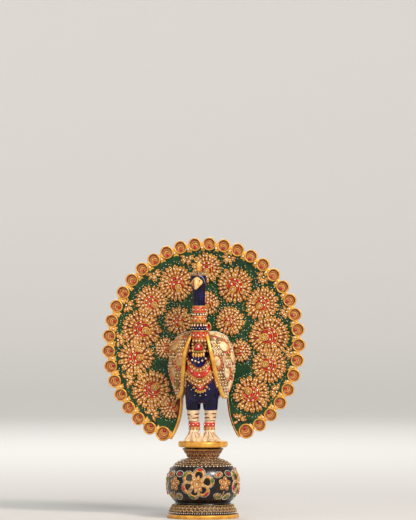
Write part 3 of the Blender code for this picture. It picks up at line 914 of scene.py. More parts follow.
def add_field(work, medallion):
    """The low red-brown ground under a medallion's petals."""
    rings = []
    count = 40
    for share, rise in ((0.84, -0.4), (0.8, 0.3), (0.55, 0.5), (0.2, 0.6)):
        ring = []
        for i in range(count):
            angle = math.tau * i / count
            point, normal = medallion.polar(angle, medallion.contour(angle) / medallion.radius * share)
            ring.append(point + normal * rise)
        rings.append(ring)
    work.add(stacked(rings, ["ground"] * 4))


def add_petal_ring(petals, stones, medallion, share, length, width, gem):
    """Petals that stand side by side along the contour drawn at a share of its size."""
    steps = 180
    angles = [math.tau * i / steps for i in range(steps)]
    reaches = [medallion.contour(a) / medallion.radius for a in angles]
    line = [medallion.polar(a, r * share)[0] for a, r in zip(angles, reaches)]
    lengths = [0.0]
    for i in range(steps):
        lengths.append(lengths[-1] + (line[(i + 1) % steps] - line[i]).length)
    count = max(8, round(lengths[-1] / width))
    heart = medallion.spot(0.0, -0.1)[0]
    for k in range(count):
        wanted = lengths[-1] * ((k + random.uniform(-0.1, 0.1)) / count % 1.0)
        step = min(range(steps), key=lambda i: abs(lengths[i] - wanted))
        point, normal = medallion.polar(angles[step], reaches[step] * share)
        run = line[(step + 2) % steps] - line[step - 2]
        along = run.cross(normal).normalized()
        outward = (point - heart).normalized()
        if along.dot(outward) < 0:
            along = -along
        along = (along * 0.5 + outward * 0.5).normalized()
        reach = length * min(1.0, 0.35 + 0.65 * reaches[step]) * random.uniform(0.84, 1.14)
        tip = point + along * reach * 0.8
        if not free_spot(tip) or behind_bird(point.x, point.z):
            continue
        shape = LEAVES[random.randrange(len(LEAVES))]
        turned = Matrix.Rotation(random.uniform(-0.24, 0.24), 4, normal)
        place = standing(point + normal * 0.4, normal, turned @ along, width / 3.7, reach / 8.0, 1.0)
        petals.add(shape, place)
        if gem:
            seat = point + along * reach * gem + normal * 0.55
            stones.add(STONE, standing(seat, normal, along, 1.0, 1.0, 1.0))


def add_heart(work, stones, medallion):
    """The paisley core with its red crescents and gold lines."""
    size = medallion.radius
    big = size > 17.5
    core = (0.0, -0.24)
    # The gold core: a low teardrop that points to the middle of the fan, with small petals fanned over it.
    rings = []
    for share, rise in ((1.0, 0.2), (1.0, 0.7), (0.8, 1.1), (0.3, 1.2)):
        ring = []
        for i in range(24):
            a = math.tau * i / 24
            tail = 1.0 + 0.75 * max(0.0, -math.cos(a)) ** 5
            point, normal = medallion.spot(
                core[0] + math.sin(a) * 0.21 * share * tail, core[1] + math.cos(a) * 0.19 * share * tail
            )
            ring.append(point + normal * rise)
        rings.append(ring)
    work.add(stacked(rings, ["relief_gold", "relief_gold", "relief_gold", "ground"]))
    for k in range(7):
        a = math.tau * k / 7 + 0.2
        foot, normal = medallion.spot(core[0] + 0.05 * math.sin(a), core[1] + 0.05 * math.cos(a))
        far = 0.2 + 0.1 * max(0.0, -math.cos(a)) ** 2
        tip = medallion.spot(core[0] + far * math.sin(a), core[1] + far * math.cos(a))[0]
        way = tip - foot
        work.add(CORE_LEAF, standing(foot + normal * 0.9, normal, way, size * 0.044, way.length / 6.0))
    outer = (0.0, -0.1)
    # Each row: middle, radius, half angle, number of points, half width, least share of it, rise, paint.
    arcs = (
        (core, 0.285, 120, 21, 0.085 * size, 0.15, 1.5, "red"),
        ((0, -0.2), 0.365, 128, 25, 0.55, 0.7, 2.1, "pale_gold"),
        (outer, 0.405, 100, 23, 0.09 * size, 0.15, 1.5, "red"),
        (outer, 0.505, 116, 27, 0.55, 0.7, 2.1, "pale_gold"),
    )
    for middle, radius, turn, count, half, least, rise, name in arcs:
        path = arc_path(medallion, middle, radius, -turn, turn, count)
        work.add(band(path, taper(count, half, least), rise, name))
    gems = [(core, 0.29, -34), (core, 0.29, 34)] if big else [(core, 0.28, 0)]
    gems += [(outer, 0.41, a) for a in ((-62, -22, 22, 62) if big else (-42, 0, 42))]
    for middle, radius, turn in gems:
        a = math.radians(turn + random.uniform(-5, 5))
        point, normal = medallion.spot(middle[0] + math.sin(a) * radius, middle[1] + math.cos(a) * radius)
        stones.add(STONE, standing(point + normal * 1.3, normal, UP))
    if big:
        point, normal = medallion.spot(0.0, core[1])
        stones.add(SMALL_STONE, standing(point + normal * 1.9, normal, UP))


def make_fan_work():
    """All raised work on the front of the tail."""
    petals = Work()
    hearts = Work()
    stones = Work()
    eyes = [Medallion(*row) for row in MEDALLIONS]
    for medallion in eyes:
        medallion.give_way([other for other in eyes if other is not medallion])
        add_field(hearts, medallion)
        size = medallion.radius
        long_petal = min(8.6, size * 0.38)
        width = 3.8 if size > 17 else 3.4
        add_petal_ring(petals, stones, medallion, 1.0 - long_petal * 0.86 / size, long_petal, width, 0.34)
        add_petal_ring(petals, stones, medallion, 0.44, size * 0.36, width * 0.95, 0.42)
        add_heart(hearts, stones, medallion)
        count = round(math.tau * size / 3.2)
        for k in range(count):
            angle = math.tau * (k + random.uniform(-0.3, 0.3)) / count
            distance = medallion.contour(angle) / size * random.uniform(1.05, 1.24)
            point, normal = medallion.polar(angle, distance)
            if free_spot(point, eyes, 1.03):
                stones.add(random.choice((DOT, DOT, GOLD_DOT)), standing(point, normal, UP))
    for pixel_x, pixel_y in SPRIGS:
        add_sprig(petals, stones, pixel_x, pixel_y)
    point, normal = on_fan(*fan_place(*RED_LEAF_PIXEL))
    hearts.add(BIG_RED_LEAF, standing(point, normal, UP))
    for i in range(CUP_COUNT - 1):
        add_web(petals, stones, i)
    add_notch_lines(hearts)
    petals.piece("tail_petals")
    hearts.piece("tail_hearts")
    stones.piece("tail_stones")


def add_sprig(petals, stones, pixel_x, pixel_y):
    """A small spray of petals that opens towards the middle of the fan."""
    x, z = fan_place(pixel_x, pixel_y)
    base, normal = on_fan(x, z)
    inwards = Vector((-x, 0, FAN_CENTRE_Z - z)).normalized()
    for turn in (-118, -80, -44, -8, 28, 64, 100):
        along = Matrix.Rotation(math.radians(turn + random.uniform(-9, 9)), 4, FORWARD) @ inwards
        start = base + along * 2.2
        reach = random.uniform(7.6, 10.2)
        tip = start + along * reach * 0.8
        if behind_bird(start.x, start.z) or not free_spot(tip):
            continue
        place = standing(start + normal * 0.2, normal, along, 0.95, reach / 8.0, 1.0)
        petals.add(LEAVES[random.randrange(3)], place)
        stones.add(SMALL_STONE, standing(start + along * reach * 0.4 + normal * 0.5, normal, along))
        if random.random() < 0.6:
            stones.add(DOT, standing(start + along * (reach + 1.4), normal, along))
    stones.add(STONE, standing(base + normal * 0.6, normal, UP))


def add_web(petals, stones, i):
    """The gold saddle between two cups, with a stone in its corner."""
    first = cup_place(i)[0]
    second = cup_place(i + 1)[0]
    middle = (first + second) / 2
    inwards = Vector((0, 0, FAN_CENTRE_Z)) - middle
    inwards.y = 0
    inwards.normalize()
    level = fan_front(0.98)
    outline = [(-3.6, 1.5), (-2.2, -1.2), (-1.7, -2.8), (-1.0, -3.7), (0, -4.0), (1.0, -3.7), (1.7, -2.8)]
    outline += [(2.2, -1.2), (3.6, 1.5), (1.2, 2.0), (-1.2, 2.0)]
    rings = []
    for share, rise in ((1.0, -1.0), (1.0, 0.2), (0.8, 0.9), (0.4, 1.1)):
        rings.append([(x * share, (y + 2.5) * share - 2.5, rise) for x, y in outline])
    place = standing(Vector((middle.x, level, middle.z)), FORWARD, -inwards)
    petals.add(stacked(rings, ["gold"] * 4), place)
    seat = Vector((middle.x, level - 0.7, middle.z)) + inwards * 4.6
    stones.add(WEB_STONE, standing(seat, FORWARD, UP))


def on_back(turn, share):
    """The point of the plate's back at a turn and share, and the normal there."""
    y = fan_back(share)
    point = fan_point(turn, share, y)
    inner = fan_point(turn, share - 0.02, fan_back(share - 0.02))
    out = point - inner
    normal = (BACKWARD - out * (BACKWARD.dot(out) / out.dot(out))).normalized()
    return point, normal


def make_back_work():
    """The plainer gold border behind: two lines with leaves and dots between, and three flowers."""
    work = Work()
    last = end_turn(0.92) - 3.0
    for share, half in ((0.925, 0.65), (0.8, 0.45)):
        path = [on_back(-last + 2 * last * i / 160, share) for i in range(161)]
        work.add(band(path, half, 0.3, "pale_gold"))
    for i in range(66):
        turn = -last + 2 * last * (i + 0.5) / 66
        point, normal = on_back(turn, 0.825)
        out = on_back(turn, 0.9)[0] - point
        work.add(BACK_LEAF, standing(point, normal, out))
        if i:
            dot, dot_normal = on_back(turn - last / 66, 0.885)
            work.add(GOLD_DOT, standing(dot, dot_normal, UP))
    for turn, share, size in ((-52.0, 0.52, 1.0), (0.0, 0.56, 1.25), (52.0, 0.52, 1.0)):
        point, normal = on_back(turn, share)
        for k in range(10):
            a = math.tau * k / 10
            way = Vector((math.cos(a), 0.0, math.sin(a)))
            foot = point + way * 3.0 * size
            foot.y = fan_back(fan_share(foot.x, foot.z))
            work.add(BACK_LEAF, standing(foot, normal, way, 1.2 * size, 1.35 * size))
        work.add(bead(1.6 * size, "dark_red", 0.5), standing(point, normal, UP))
    return work.piece("tail_back_lines")


def add_notch_lines(work):
    """The gold border on the notch's left side and the thin red and gold lines on its right."""
    lines = ((-1, 1.5, "gold", 1.6), (1, 0.5, "dark_red", 0.8), (1, 0.35, "pale_gold", 2.0))
    for side, half, name, inset in lines:
        path = []
        for k in range(40):
            share = 0.53 + 0.44 * k / 39
            point = fan_point(side * end_turn(share), share, 0)
            x = point.x + side * inset
            path.append(on_fan(x, point.z))
        work.add(band(path, half, 0.8, name))


# Pedestal.


def bulb_half(end_radius, height, squareness, steps):
    """Radius and distance from the widest level, for half of the bulb down to end_radius."""
    share = superellipse(end_radius / BULB_RADIUS, squareness)
    rows = []
    for i in range(steps + 1):
        reach = math.sin(math.asin(share) * i / steps)
        rows.append((BULB_RADIUS * superellipse(reach, squareness), height * reach / share))
    return rows


def pot_profile():
    """Radius, height and paint of the band after each row, from the underside to the seat."""
    rows = [
        (FOOT_RADIUS - 0.8, 0.0, "gold"),
        (FOOT_RADIUS, 0.8, "gold"),
        (FOOT_RADIUS, 4.6, "gold"),
        (FOOT_RADIUS - 0.3, 5.2, "gold"),
        (FOOT_RADIUS - 1.0, FOOT_RIM_HEIGHT, "black"),
        (47.2, 5.55, "black"),
        (SLOPE_LOW_RADIUS, 6.9, "black"),
        (46.0, 7.2, "deep"),
        (43.9, 11.5, "deep"),
        (41.4, 15.6, "deep"),
        (SLOPE_TOP_RADIUS, SLOPE_TOP, "black"),
        (38.4, 19.0, "black"),
        (37.6, 19.8, "black"),
        (37.6, 21.0, "black"),
    ]
    low = bulb_half(GROOVE_RADIUS, BULB_MIDDLE - BULB_LOW, 2.0, 14)
    high = bulb_half(WAIST_RADIUS, WAIST - BULB_MIDDLE, 2.5, 26)

    def painted(radius):
        """The painted bulb lies a little inside, so that its flowers end at the bulb's full radius."""
        return radius - RELIEF_DEPTH * (radius / BULB_RADIUS) ** 6

    rows += [(painted(radius), BULB_MIDDLE - down, "black") for radius, down in reversed(low[1:])]
    for radius, up in high:
        z = BULB_MIDDLE + up
        rows.append((painted(radius), z, "deep" if z > SHOULDER else "black"))
    rows[-1] = (rows[-1][0], rows[-1][1], "dark_red")
    rows += [
        (19.9, 81.6, "dark_red"),
        (21.2, 84.2, "dark_red"),
        (23.0, 87.2, "dark_red"),
        (25.0, 90.0, "dark_red"),
        (26.8, 92.2, "aged_gold"),
        (27.7, 92.8, "aged_gold"),
        (28.0, 93.3, "aged_gold"),
        # The black on the narrow neck under the seat is the lacquer's black, and also painted shade of the
        # gap under the plinth.
        (27.7, 93.9, "black"),
        (25.2, COLLAR_TOP, "black"),
        (25.0, 94.3, "black"),
        (25.0, PEDESTAL_TOP, "black"),
    ]
    return rows


POT_ROWS = pot_profile()


def on_pot(turn, z):
    """The point and normal of the pedestal at a turn from the front (towards +X) and a height."""
    rows = POT_ROWS[4:]
    for low, high in zip(rows, rows[1:]):
        if low[1] <= z <= high[1] and high[1] > low[1]:
            t = (z - low[1]) / (high[1] - low[1])
            radius = low[0] + (high[0] - low[0]) * t
            rise, run = high[1] - low[1], high[0] - low[0]
            break
    a = math.radians(turn)
    out = Vector((math.sin(a), -math.cos(a), 0))
    normal = (out * rise - UP * run).normalized()
    return Vector((0, 0, z)) + out * radius, normal


def make_pot():
    """The turned body of the pedestal."""
    work = Work()
    rows = POT_ROWS
    work.add(lathe([(r, z) for r, z, _ in rows], [name for _, _, name in rows[:-1]], 144))
    return work.piece("pedestal_body", "pedestal")


# Bird.


def loft_object(name, lofts, voxel, smoothing):
    """One smooth skin round several overlapping lofts."""
    data = bmesh.new()
    for rings in lofts:
        loops = [[data.verts.new(Vector(p) * MM) for p in ring] for ring in rings]
        size = len(loops[0])
        for low, high in zip(loops, loops[1:]):
            for i in range(size):
                j = (i + 1) % size
                data.faces.new((low[i], low[j], high[j], high[i]))
        data.faces.new(loops[0][::-1])
        data.faces.new(loops[-1])
    bmesh.ops.recalc_face_normals(data, faces=data.faces)
    mesh = bpy.data.meshes.new(name + "_rough")
    data.to_mesh(mesh)
    data.free()
    rough = bpy.data.objects.new(name + "_rough", mesh)
    scene.collection.objects.link(rough)
    remesh = rough.modifiers.new("skin", "REMESH")
    remesh.mode = "VOXEL"
    remesh.voxel_size = voxel * MM
    remesh.use_smooth_shade = True
    smooth = rough.modifiers.new("smooth", "SMOOTH")
    smooth.factor = 0.5
    smooth.iterations = smoothing
    shown = rough.evaluated_get(bpy.context.evaluated_depsgraph_get())
    skin = bpy.data.meshes.new_from_object(shown)
    skin.name = name
    bpy.data.objects.remove(rough, do_unlink=True)
    return skin


def torso_rings():
    """The body's level sections."""
    rings = []
    for height, half_width, reach in smooth_rows(TORSO, 3):
        ring = []
        for i in range(41):
            share = math.cos(math.pi * i / 40)
            ring.append((half_width * share, -reach * superellipse(share, 2.2), PLINTH_TOP + height))
        ring += [(-half_width, BACK_Y, PLINTH_TOP + height), (half_width, BACK_Y, PLINTH_TOP + height)]
        rings.append(ring)
    return rings


def thigh_rings(side):
    """A thigh's level sections, from the knee up into the body."""
    rings = []
    for share in (0.0, 0.03, 0.1, 0.2, 0.35, 0.5, 0.75, 1.0):
        width = THIGH_RADIUS + 2.9 * share
        depth = THIGH_RADIUS + 4.3 * share
        if share == 0.0:
            width -= 0.7
            depth -= 0.7
        z = PLINTH_TOP + LEG_HEIGHT + THIGH_HEIGHT * share
        rings.append(circle(side * LEG_SPREAD, LEG_Y, z, width, depth, 40))
    return rings


def neck_rings():
    """The neck's and the head's level sections."""
    return [circle(0, -y, PLINTH_TOP + z, w, d, 40) for z, y, w, d in smooth_rows(NECK, 4)]


def make_body():
    """Torso, neck, head and thighs in dark blue."""
    skin = loft_object("bird_body", [torso_rings(), neck_rings(), thigh_rings(-1), thigh_rings(1)], 1.1, 8)
    skin.materials.append(PAINTS["navy"])
    skin.polygons.foreach_set("use_smooth", [True] * len(skin.polygons))
    return placed("bird_body", skin, "peacock")


def wing_section(side, height, outer, edge, reach, feather):
    """A level cut through the feathered part of a wing, or through the gold strip on its front edge."""
    z = PLINTH_TOP + height
    front = reach - 1.6
    if feather:
        ring = [(edge - 5.0, BACK_Y), (edge - 5.0, -front + 1.4), (edge - 1.2, -front + 0.4)]
        for i in range(17):
            turn = math.pi / 2 * i / 16
            x = edge - 1.2 + (outer - edge + 1.2) * math.sin(turn)
            ring.append((x, WING_WIDEST_Y - max(0.0, front - 0.4 + WING_WIDEST_Y) * math.cos(turn)))
        ring += [(outer - 0.9, (WING_WIDEST_Y + BACK_Y) * 0.5), (outer - 3.0, BACK_Y)]
    else:
        half = 3.35 - 1.1 * min(1.0, max(0.0, (height - 64.0) / 76.0))
        middle = Vector((edge - 5.2 + half * 0.95, -reach + 1.9))
        ring = []
        for i in range(16):
            a = math.tau * i / 16
            x = half * abs(math.cos(a)) ** 0.8 * (1 if math.cos(a) > 0 else -1)
            y = 2.3 * abs(math.sin(a)) ** 0.9 * (1 if math.sin(a) > 0 else -1)
            ring.append((middle.x + x, middle.y + y + x * 0.2))
    return [(side * x, y, z) for x, y in ring]


def wing_rounding(height):
    """How much the wing draws in towards its root near its top."""
    near = max(0.0, min(1.0, (WING[-1][0] - height + 0.3) / 5.0))
    return 0.97 - 0.22 * (1.0 - math.sqrt(1.0 - (1.0 - near) ** 2))


def make_wings():
    """Both wings, cream, with the smooth gold strip that edges each."""
    feathers = Work()
    strips = Work()
    rows = WING_ROWS
    for side in (-1, 1):
        rings = []
        for row in rows:
            ring = wing_section(side, *row, True)
            root = Vector((side * (row[2] - 5.0), BACK_Y, PLINTH_TOP + row[0]))
            rings.append([root + (Vector(p) - root) * wing_rounding(row[0]) for p in ring])
        feathers.add(stacked(rings, ["wing_ground"] * len(rings)))
        rings = []
        low, high = rows[0][0], rows[-1][0]
        for row in rows:
            ring = wing_section(side, *row, False)
            end = min(1.0, (row[0] - low + 0.4) / 3.2, (high - row[0] + 0.4) / 2.0)
            size = math.sqrt(max(0.02, 1.0 - (1.0 - end) ** 2))
            middle = sum((Vector(p) for p in ring), Vector()) / len(ring)
            rings.append([middle + (Vector(p) - middle) * size for p in ring])
        strips.add(stacked(rings, ["gold"] * len(rings)))
    made = feathers.piece("bird_wings")
    turn_faces_out(made)
    turn_faces_out(strips.piece("wing_strips"))
    return made


def leg_middle(height):
    """How far a leg's middle lies from the bird's middle at a height above the plinth."""
    lean = 1.5 * math.exp(-(((height - 20.0) / 9.0) ** 2))
    widening = 0.2 * min(1.0, max(0.0, height - 30.0) / 10.0)
    return LEG_SPREAD - lean + widening


def foot_reach(turn):
    """How far the foot spreads in the direction that lies turn degrees from straight ahead."""
    reach = HEEL_REACH
    for toe in TOE_ANGLES:
        off = abs((turn - toe + 180.0) % 360.0 - 180.0)
        share = math.cos(math.radians(min(90.0, off * TOE_NARROWNESS)))
        reach = max(reach, HEEL_REACH + TOE_LENGTH * share)
    return reach


def make_legs():
    """Cream legs and feet on the gold plinth."""
    legs = Work()
    foot = smooth_rows(FOOT_SPREAD, 4)
    for side in (-1, 1):
        rows = [(height, ANKLE_RADIUS, share) for height, share in foot]
        rows += [(17.5, 6.85, 0.0), (20.5, 6.85, 0.0), (24.0, 6.95, 0.0), (28.0, 7.2, 0.0), (32.0, 7.5, 0.0)]
        rows += [(36.0, 7.9, 0.0), (40.0, 8.2, 0.0), (46.0, 8.6, 0.0)]
        rings = []
        for height, base, share in rows:
            ring = []
            for i in range(64):
                turn = 360.0 * i / 64
                reach = base + (foot_reach(turn) - base) * share
                if height < 1.0:
                    reach -= (1.0 - height) * 0.7 * share
                a = math.radians(turn)
                middle = side * leg_middle(height)
                ring.append((middle + reach * math.sin(a), LEG_Y - reach * math.cos(a), PLINTH_TOP + height))
            rings.append(ring)
        legs.add(stacked(rings, ["skin"] * len(rings)))
    web = []
    for height, half, ahead, behind in WEB:
        ring = []
        for i in range(24):
            a = math.tau * i / 24
            x = half * abs(math.cos(a)) ** 0.5 * (1 if math.cos(a) > 0 else -1)
            y = math.sin(a)
            y = LEG_Y + (abs(y) ** 0.6 * behind if y > 0 else -(abs(y) ** 0.6) * ahead)
            ring.append((x, y, PLINTH_TOP + height))
        web.append(ring)
    legs.add(stacked(smooth_rings(web, 4), ["skin"] * 13))
    turn_faces_out(legs.piece("bird_legs"))
    plinth = Work()
    profile = []
    for corner_z, turn in ((PLINTH_LOW + PLINTH_ROUNDING, -90.0), (PLINTH_TOP - PLINTH_ROUNDING, 0.0)):
        for step in range(9):
            angle = math.radians(turn + 90.0 * step / 8)
            radius = PLINTH_RADIUS - PLINTH_ROUNDING * (1.0 - math.cos(angle))
            profile.append((radius, corner_z + PLINTH_ROUNDING * math.sin(angle)))
    plinth.add(lathe(profile, ["gold"] * (len(profile) - 1), 128))
    plinth.piece("plinth")


def smooth_rings(rings, steps):
    """Rings between the given ones, on curves through them."""
    columns = [smooth_rows([ring[k] for ring in rings], steps) for k in range(len(rings[0]))]
    return [[column[i] for column in columns] for i in range(len(columns[0]))]


NECKLACE = ((-0.7, 0.6), (-0.4, 0.95), (0.0, 1.0), (0.4, 0.95), (0.7, 0.6))


def make_head():
    """The broad beak and the crest's bud."""
    work = Work()
    rows = smooth_rows(BEAK, 5)
    last = len(rows) - 1
    rings = []
    for i, (reach, height, half_width, half_height) in enumerate(rows):
        ahead, behind = rows[min(last, i + 1)], rows[max(0, i - 1)]
        along = Vector((0.0, behind[0] - ahead[0], ahead[1] - behind[1])).normalized()
        up = Vector((1.0, 0.0, 0.0)).cross(along).normalized()
        middle = Vector((0.0, 0.4 - reach, PLINTH_TOP + height))
        ring = []
        for k in range(28):
            a = math.tau * k / 28
            above = max(0.0, -math.sin(a))
            ridge = 1.0 + 0.08 * above**6
            aside = half_width * 0.96 * math.cos(a) * (1.0 - 0.4 * above)
            ring.append(middle + Vector((aside, 0, 0)) + up * half_height * math.sin(a) * ridge)
        rings.append(ring)
    work.add(stacked(rings, ["beak"] * len(rings)))
    crest = [(radius, PLINTH_TOP + z) for z, radius in smooth_rows(CREST, 5)]
    work.add(lathe(crest, ["pale_gold"] * (len(crest) - 1), 20, 0.0, CREST_Y))
    for z, radius, height in ((228.6, 3.4, 1.0), (230.6, 3.0, 0.8)):
        rows = [(radius * out, PLINTH_TOP + z + height * up) for up, out in NECKLACE]
        work.add(lathe(rows, ["red"] * (len(rows) - 1), 20, 0.0, CREST_Y))
    made = work.piece("bird_head")
    turn_faces_out(made)
    return made


# Raised work on the pedestal.


def pot_spot(turn, z, across=0.0, up=0.0):
    """The pedestal's surface at a distance across and up from a turn and height."""
    radius = on_pot(turn, z + up)[0].xy.length
    return on_pot(turn + math.degrees(across / max(radius, 30.0)), z + up)


def pot_level(z, count=144):
    """A level ring of points on the pedestal."""
    return [on_pot(360.0 * i / count, z) for i in range(count)]


def along_pot(turn, angle, normal):
    """The direction on the pedestal at an angle from straight up, towards +X as seen from outside."""
    a = math.radians(turn)
    side = Vector((math.cos(a), math.sin(a), 0))
    rise = side.cross(-normal).normalized()
    if rise.z < 0:
        rise = -rise
    return rise * math.cos(math.radians(angle)) + side * math.sin(math.radians(angle))


def add_row(
    work, shape, count, z, angle=180.0, across=1.0, along=1.0, shift=0.0, lift=0.2, wobble=0.0, lean=0.0
):
    """The same shape all round the pedestal at one height, leaning out towards the viewer by a share."""
    for k in range(count):
        turn = 360.0 * (k + shift) / count
        point, normal = on_pot(turn, z)
        ahead = Vector((normal.x, normal.y, 0.0)).normalized()
        normal = (normal * (1.0 - lean) + ahead * lean).normalized()
        way = along_pot(turn, angle + random.uniform(-wobble, wobble), normal)
        work.add(shape, standing(point + normal * lift, normal, way, across, along))


def add_dots(stones, turn, z, outline, spacing=1.5):
    """Small white beads along an outline given as (across, up) points."""
    path = [pot_spot(turn, z, a, b) for a, b in outline]
    gone = 0.0
    for (start, _), (end, normal) in zip(path, path[1:]):
        gone += (end - start).length
        if gone >= spacing:
            stones.add(PIN, standing(end + normal * 0.1, normal, UP))
            gone = 0.0


def add_loop(work, stones, turn, z, across, up, size, gem):
    """A gold ring with a dark eye, a marquise on its outer side and a dotted outline."""
    facing = math.atan2(up, across)
    path = []
    halves = []
    for i in range(30):
        a = math.tau * i / 30
        outer_side = 0.5 + 0.5 * math.cos(a - facing)
        half = (0.62 + 1.5 * outer_side**1.5) * size / 6.8
        radius = size - half
        path.append(pot_spot(turn, z, across + radius * math.cos(a), up + radius * math.sin(a)))
        halves.append(half)
    work.add(closed_band(path, halves, 0.8, "pot_gold"))
    outline = []
    for i in range(46):
        a = facing + math.radians(-150 + 300 * i / 45)
        outline.append((across + (size + 0.75) * math.cos(a), up + (size + 0.75) * math.sin(a)))
    add_dots(stones, turn, z, outline, 1.3)
    seat = size - 2.2
    point, normal = pot_spot(turn, z, across + seat * math.cos(facing), up + seat * math.sin(facing))
    way = along_pot(turn, 90.0 - math.degrees(facing) + 90.0, normal)
    half_way = way * 2.9
    stones.add(MARQUISE[gem], standing(point - half_way * 1.3 + normal * 1.1, normal, way, 1.5, 1.3, 0.9))


def add_pod(work, stones, turn, z, across, up, lean, gem):
    """A gold pod that holds a marquise, with a dotted outline."""
    point, normal = pot_spot(turn, z, across, up)
    way = along_pot(turn, lean, normal)
    work.add(POD, standing(point - way * 5.6, normal, way))
    stones.add(MARQUISE[gem], standing(point - way * 3.3 + normal * 0.6, normal, way, 1.15, 1.1, 0.9))
    outline = []
    a = math.radians(90.0 - lean)
    for i in range(37):
        t = math.tau * i / 36
        lengthwise, crosswise = 6.5 * math.cos(t), 3.9 * math.sin(t)
        outline.append((
            across + lengthwise * math.cos(a) - crosswise * math.sin(a),
            up + lengthwise * math.sin(a) + crosswise * math.cos(a),
        ))
    add_dots(stones, turn, z, outline, 1.4)


def add_flower(work, stones, turn, z, petals, length, start, across):
    """A gold flower with a stone in each petal and one in the middle."""
    for k in range(petals):
        point, normal = pot_spot(turn, z)
        angle = start + 360.0 * k / petals
        way = along_pot(turn, angle, normal)
        a = math.radians(angle)
        foot, normal = pot_spot(turn, z, 1.2 * math.sin(a), 1.2 * math.cos(a))
        work.add(FLOWER_LEAF, standing(foot + normal * 0.1, normal, way, across, length / 8.0))
        stones.add(SMALL_STONE, standing(foot + way * length * 0.52 + normal * 0.4, normal, way))
        stones.add(PIN, standing(foot + way * length * 0.84 + normal * 0.5, normal, way))
    point, normal = pot_spot(turn, z)
    stones.add(STONE, standing(point + normal * 0.8, normal, UP, 1.15, 1.15))


def add_blossom(work, stones, turn, z, petals, reach):
    """A flower of round petals, each a ring with a stone, round a boss."""
    for k in range(petals):
        a = math.tau * (k + 0.1) / petals
        point, normal = pot_spot(turn, z, reach * math.sin(a), reach * math.cos(a))
        way = along_pot(turn, math.degrees(a), normal)
        work.add(ROUND_PETAL, standing(point, normal, way, 1.0, 1.15))
        stones.add(SMALL_STONE, standing(point + way * 0.4 + normal * 0.5, normal, way))
    point, normal = pot_spot(turn, z)
    work.add(ROUND_PETAL, standing(point + normal * 0.25, normal, UP, 0.75, 0.75))
    stones.add(STONE, standing(point + normal * 0.8, normal, UP))


def make_pot_work():
    """The raised work on the foot, the bulb, the shoulder and the collar."""
    work = Work()
    stones = Work()
    # The foot: leaves that lean to both sides in rows, under a rope, with beads along the bottom.
    for k in range(44):
        for way in (-1, 1):
            path = []
            for i in range(7):
                t = i / 6
                turn = 360.0 * (k + 0.5 * way) / 44 + way * (t - 0.5) * 9.0 + 1.2 * math.sin(math.tau * t)
                path.append(on_pot(turn, 8.4 + 9.0 * t))
            work.add(band(path, taper(7, 0.6, 0.5), 1.1 + 0.3 * way, "aged_gold"))
    add_row(work, SCALE, 44, 16.4, across=0.72, along=0.6, lift=0.4, wobble=24, lean=0.3)
    add_row(work, SCALE, 44, 12.6, across=0.66, along=0.5, shift=0.5, lift=0.4, wobble=24, lean=0.3)
    add_row(stones, bead(0.7), 88, 7.6, lift=0.2)
    add_row(stones, PIN, 44, 14.3, shift=0.5, lift=1.1)
    add_row(stones, PIN, 44, 10.2, shift=0.0, lift=1.1)
    work.add(closed_band(pot_level(18.0), 0.5, 0.7, "aged_gold"))
    # The bulb: flowers ringed by loops and flowers between pods, by turns.
    loops = ((2.6, 13.4), (15.0, 3.4), (8.6, -8.9), (-4.8, -11.8), (-14.0, -4.1), (-12.4, 9.3))
    # Each row: height of the place that a pod is measured from, across, up, lean and gem.
    pods = (
        (44.8, -8.6, 15.4, 74.0, "red"),
        (44.8, 8.4, 16.4, 100.0, "red"),
        (45.0, -8.8, -14.0, 112.0, "leaf_green"),
        (45.0, 5.6, -14.4, 68.0, "leaf_green"),
    )
    for k in range(4):
        turn = 0.4 + 90.0 * k
        for i, (across, up) in enumerate(loops):
            add_loop(work, stones, turn, 47.6, across, up, 7.6, "leaf_green" if i % 2 else "red")
        add_flower(work, stones, turn, 47.8, 8, 11.4, 12.0, 1.05)
        turn += 47.0
        add_blossom(work, stones, turn, 48.0, 5, 6.0)
        for pod in pods:
            add_pod(work, stones, turn, *pod)
        stem = [pot_spot(turn, 44.0, -1.0 - 1.2 * t, -6.0 - 7.0 * t) for t in (0, 0.25, 0.5, 0.75, 1.0)]
        work.add(band(stem, 0.5, 0.8, "pot_gold"))
    # The shoulder: a row of beads under rows of leaves.
    add_row(stones, bead(0.95), 46, 71.0, lift=0.1)
    add_row(work, bead(0.75, "aged_gold"), 46, 71.2, shift=0.5, lift=0.1)
    for count, z, shift in ((50, 74.2, 0.0), (46, 76.4, 0.5), (42, 78.3, 0.0), (36, 79.8, 0.5)):
        add_row(work, SCALE, count, z, along=0.74, shift=shift, lift=0.4, wobble=22, lean=0.55)
        add_row(stones, PIN, count // 2, z - 1.2, shift=shift, lift=1.3)
    # The collar: scales between gold lines on dark red.
    for z, half in ((81.5, 0.45), (86.4, 0.4), (92.3, 0.5)):
        work.add(closed_band(pot_level(z), half, 0.6, "relief_gold"))
    add_row(work, OVAL, 27, 87.2, angle=0.0, across=1.0, along=1.0, lift=0.1)
    add_row(work, OVAL, 23, 82.2, angle=0.0, across=0.9, along=0.8, shift=0.5, lift=0.1)
    add_row(stones, PIN, 27, 87.4, shift=0.5, lift=0.3)
    add_row(stones, PIN, 23, 82.6, shift=0.0, lift=0.3)
    work.piece("pedestal_relief")
    stones.piece("pedestal_stones")


# Raised work on the bird.


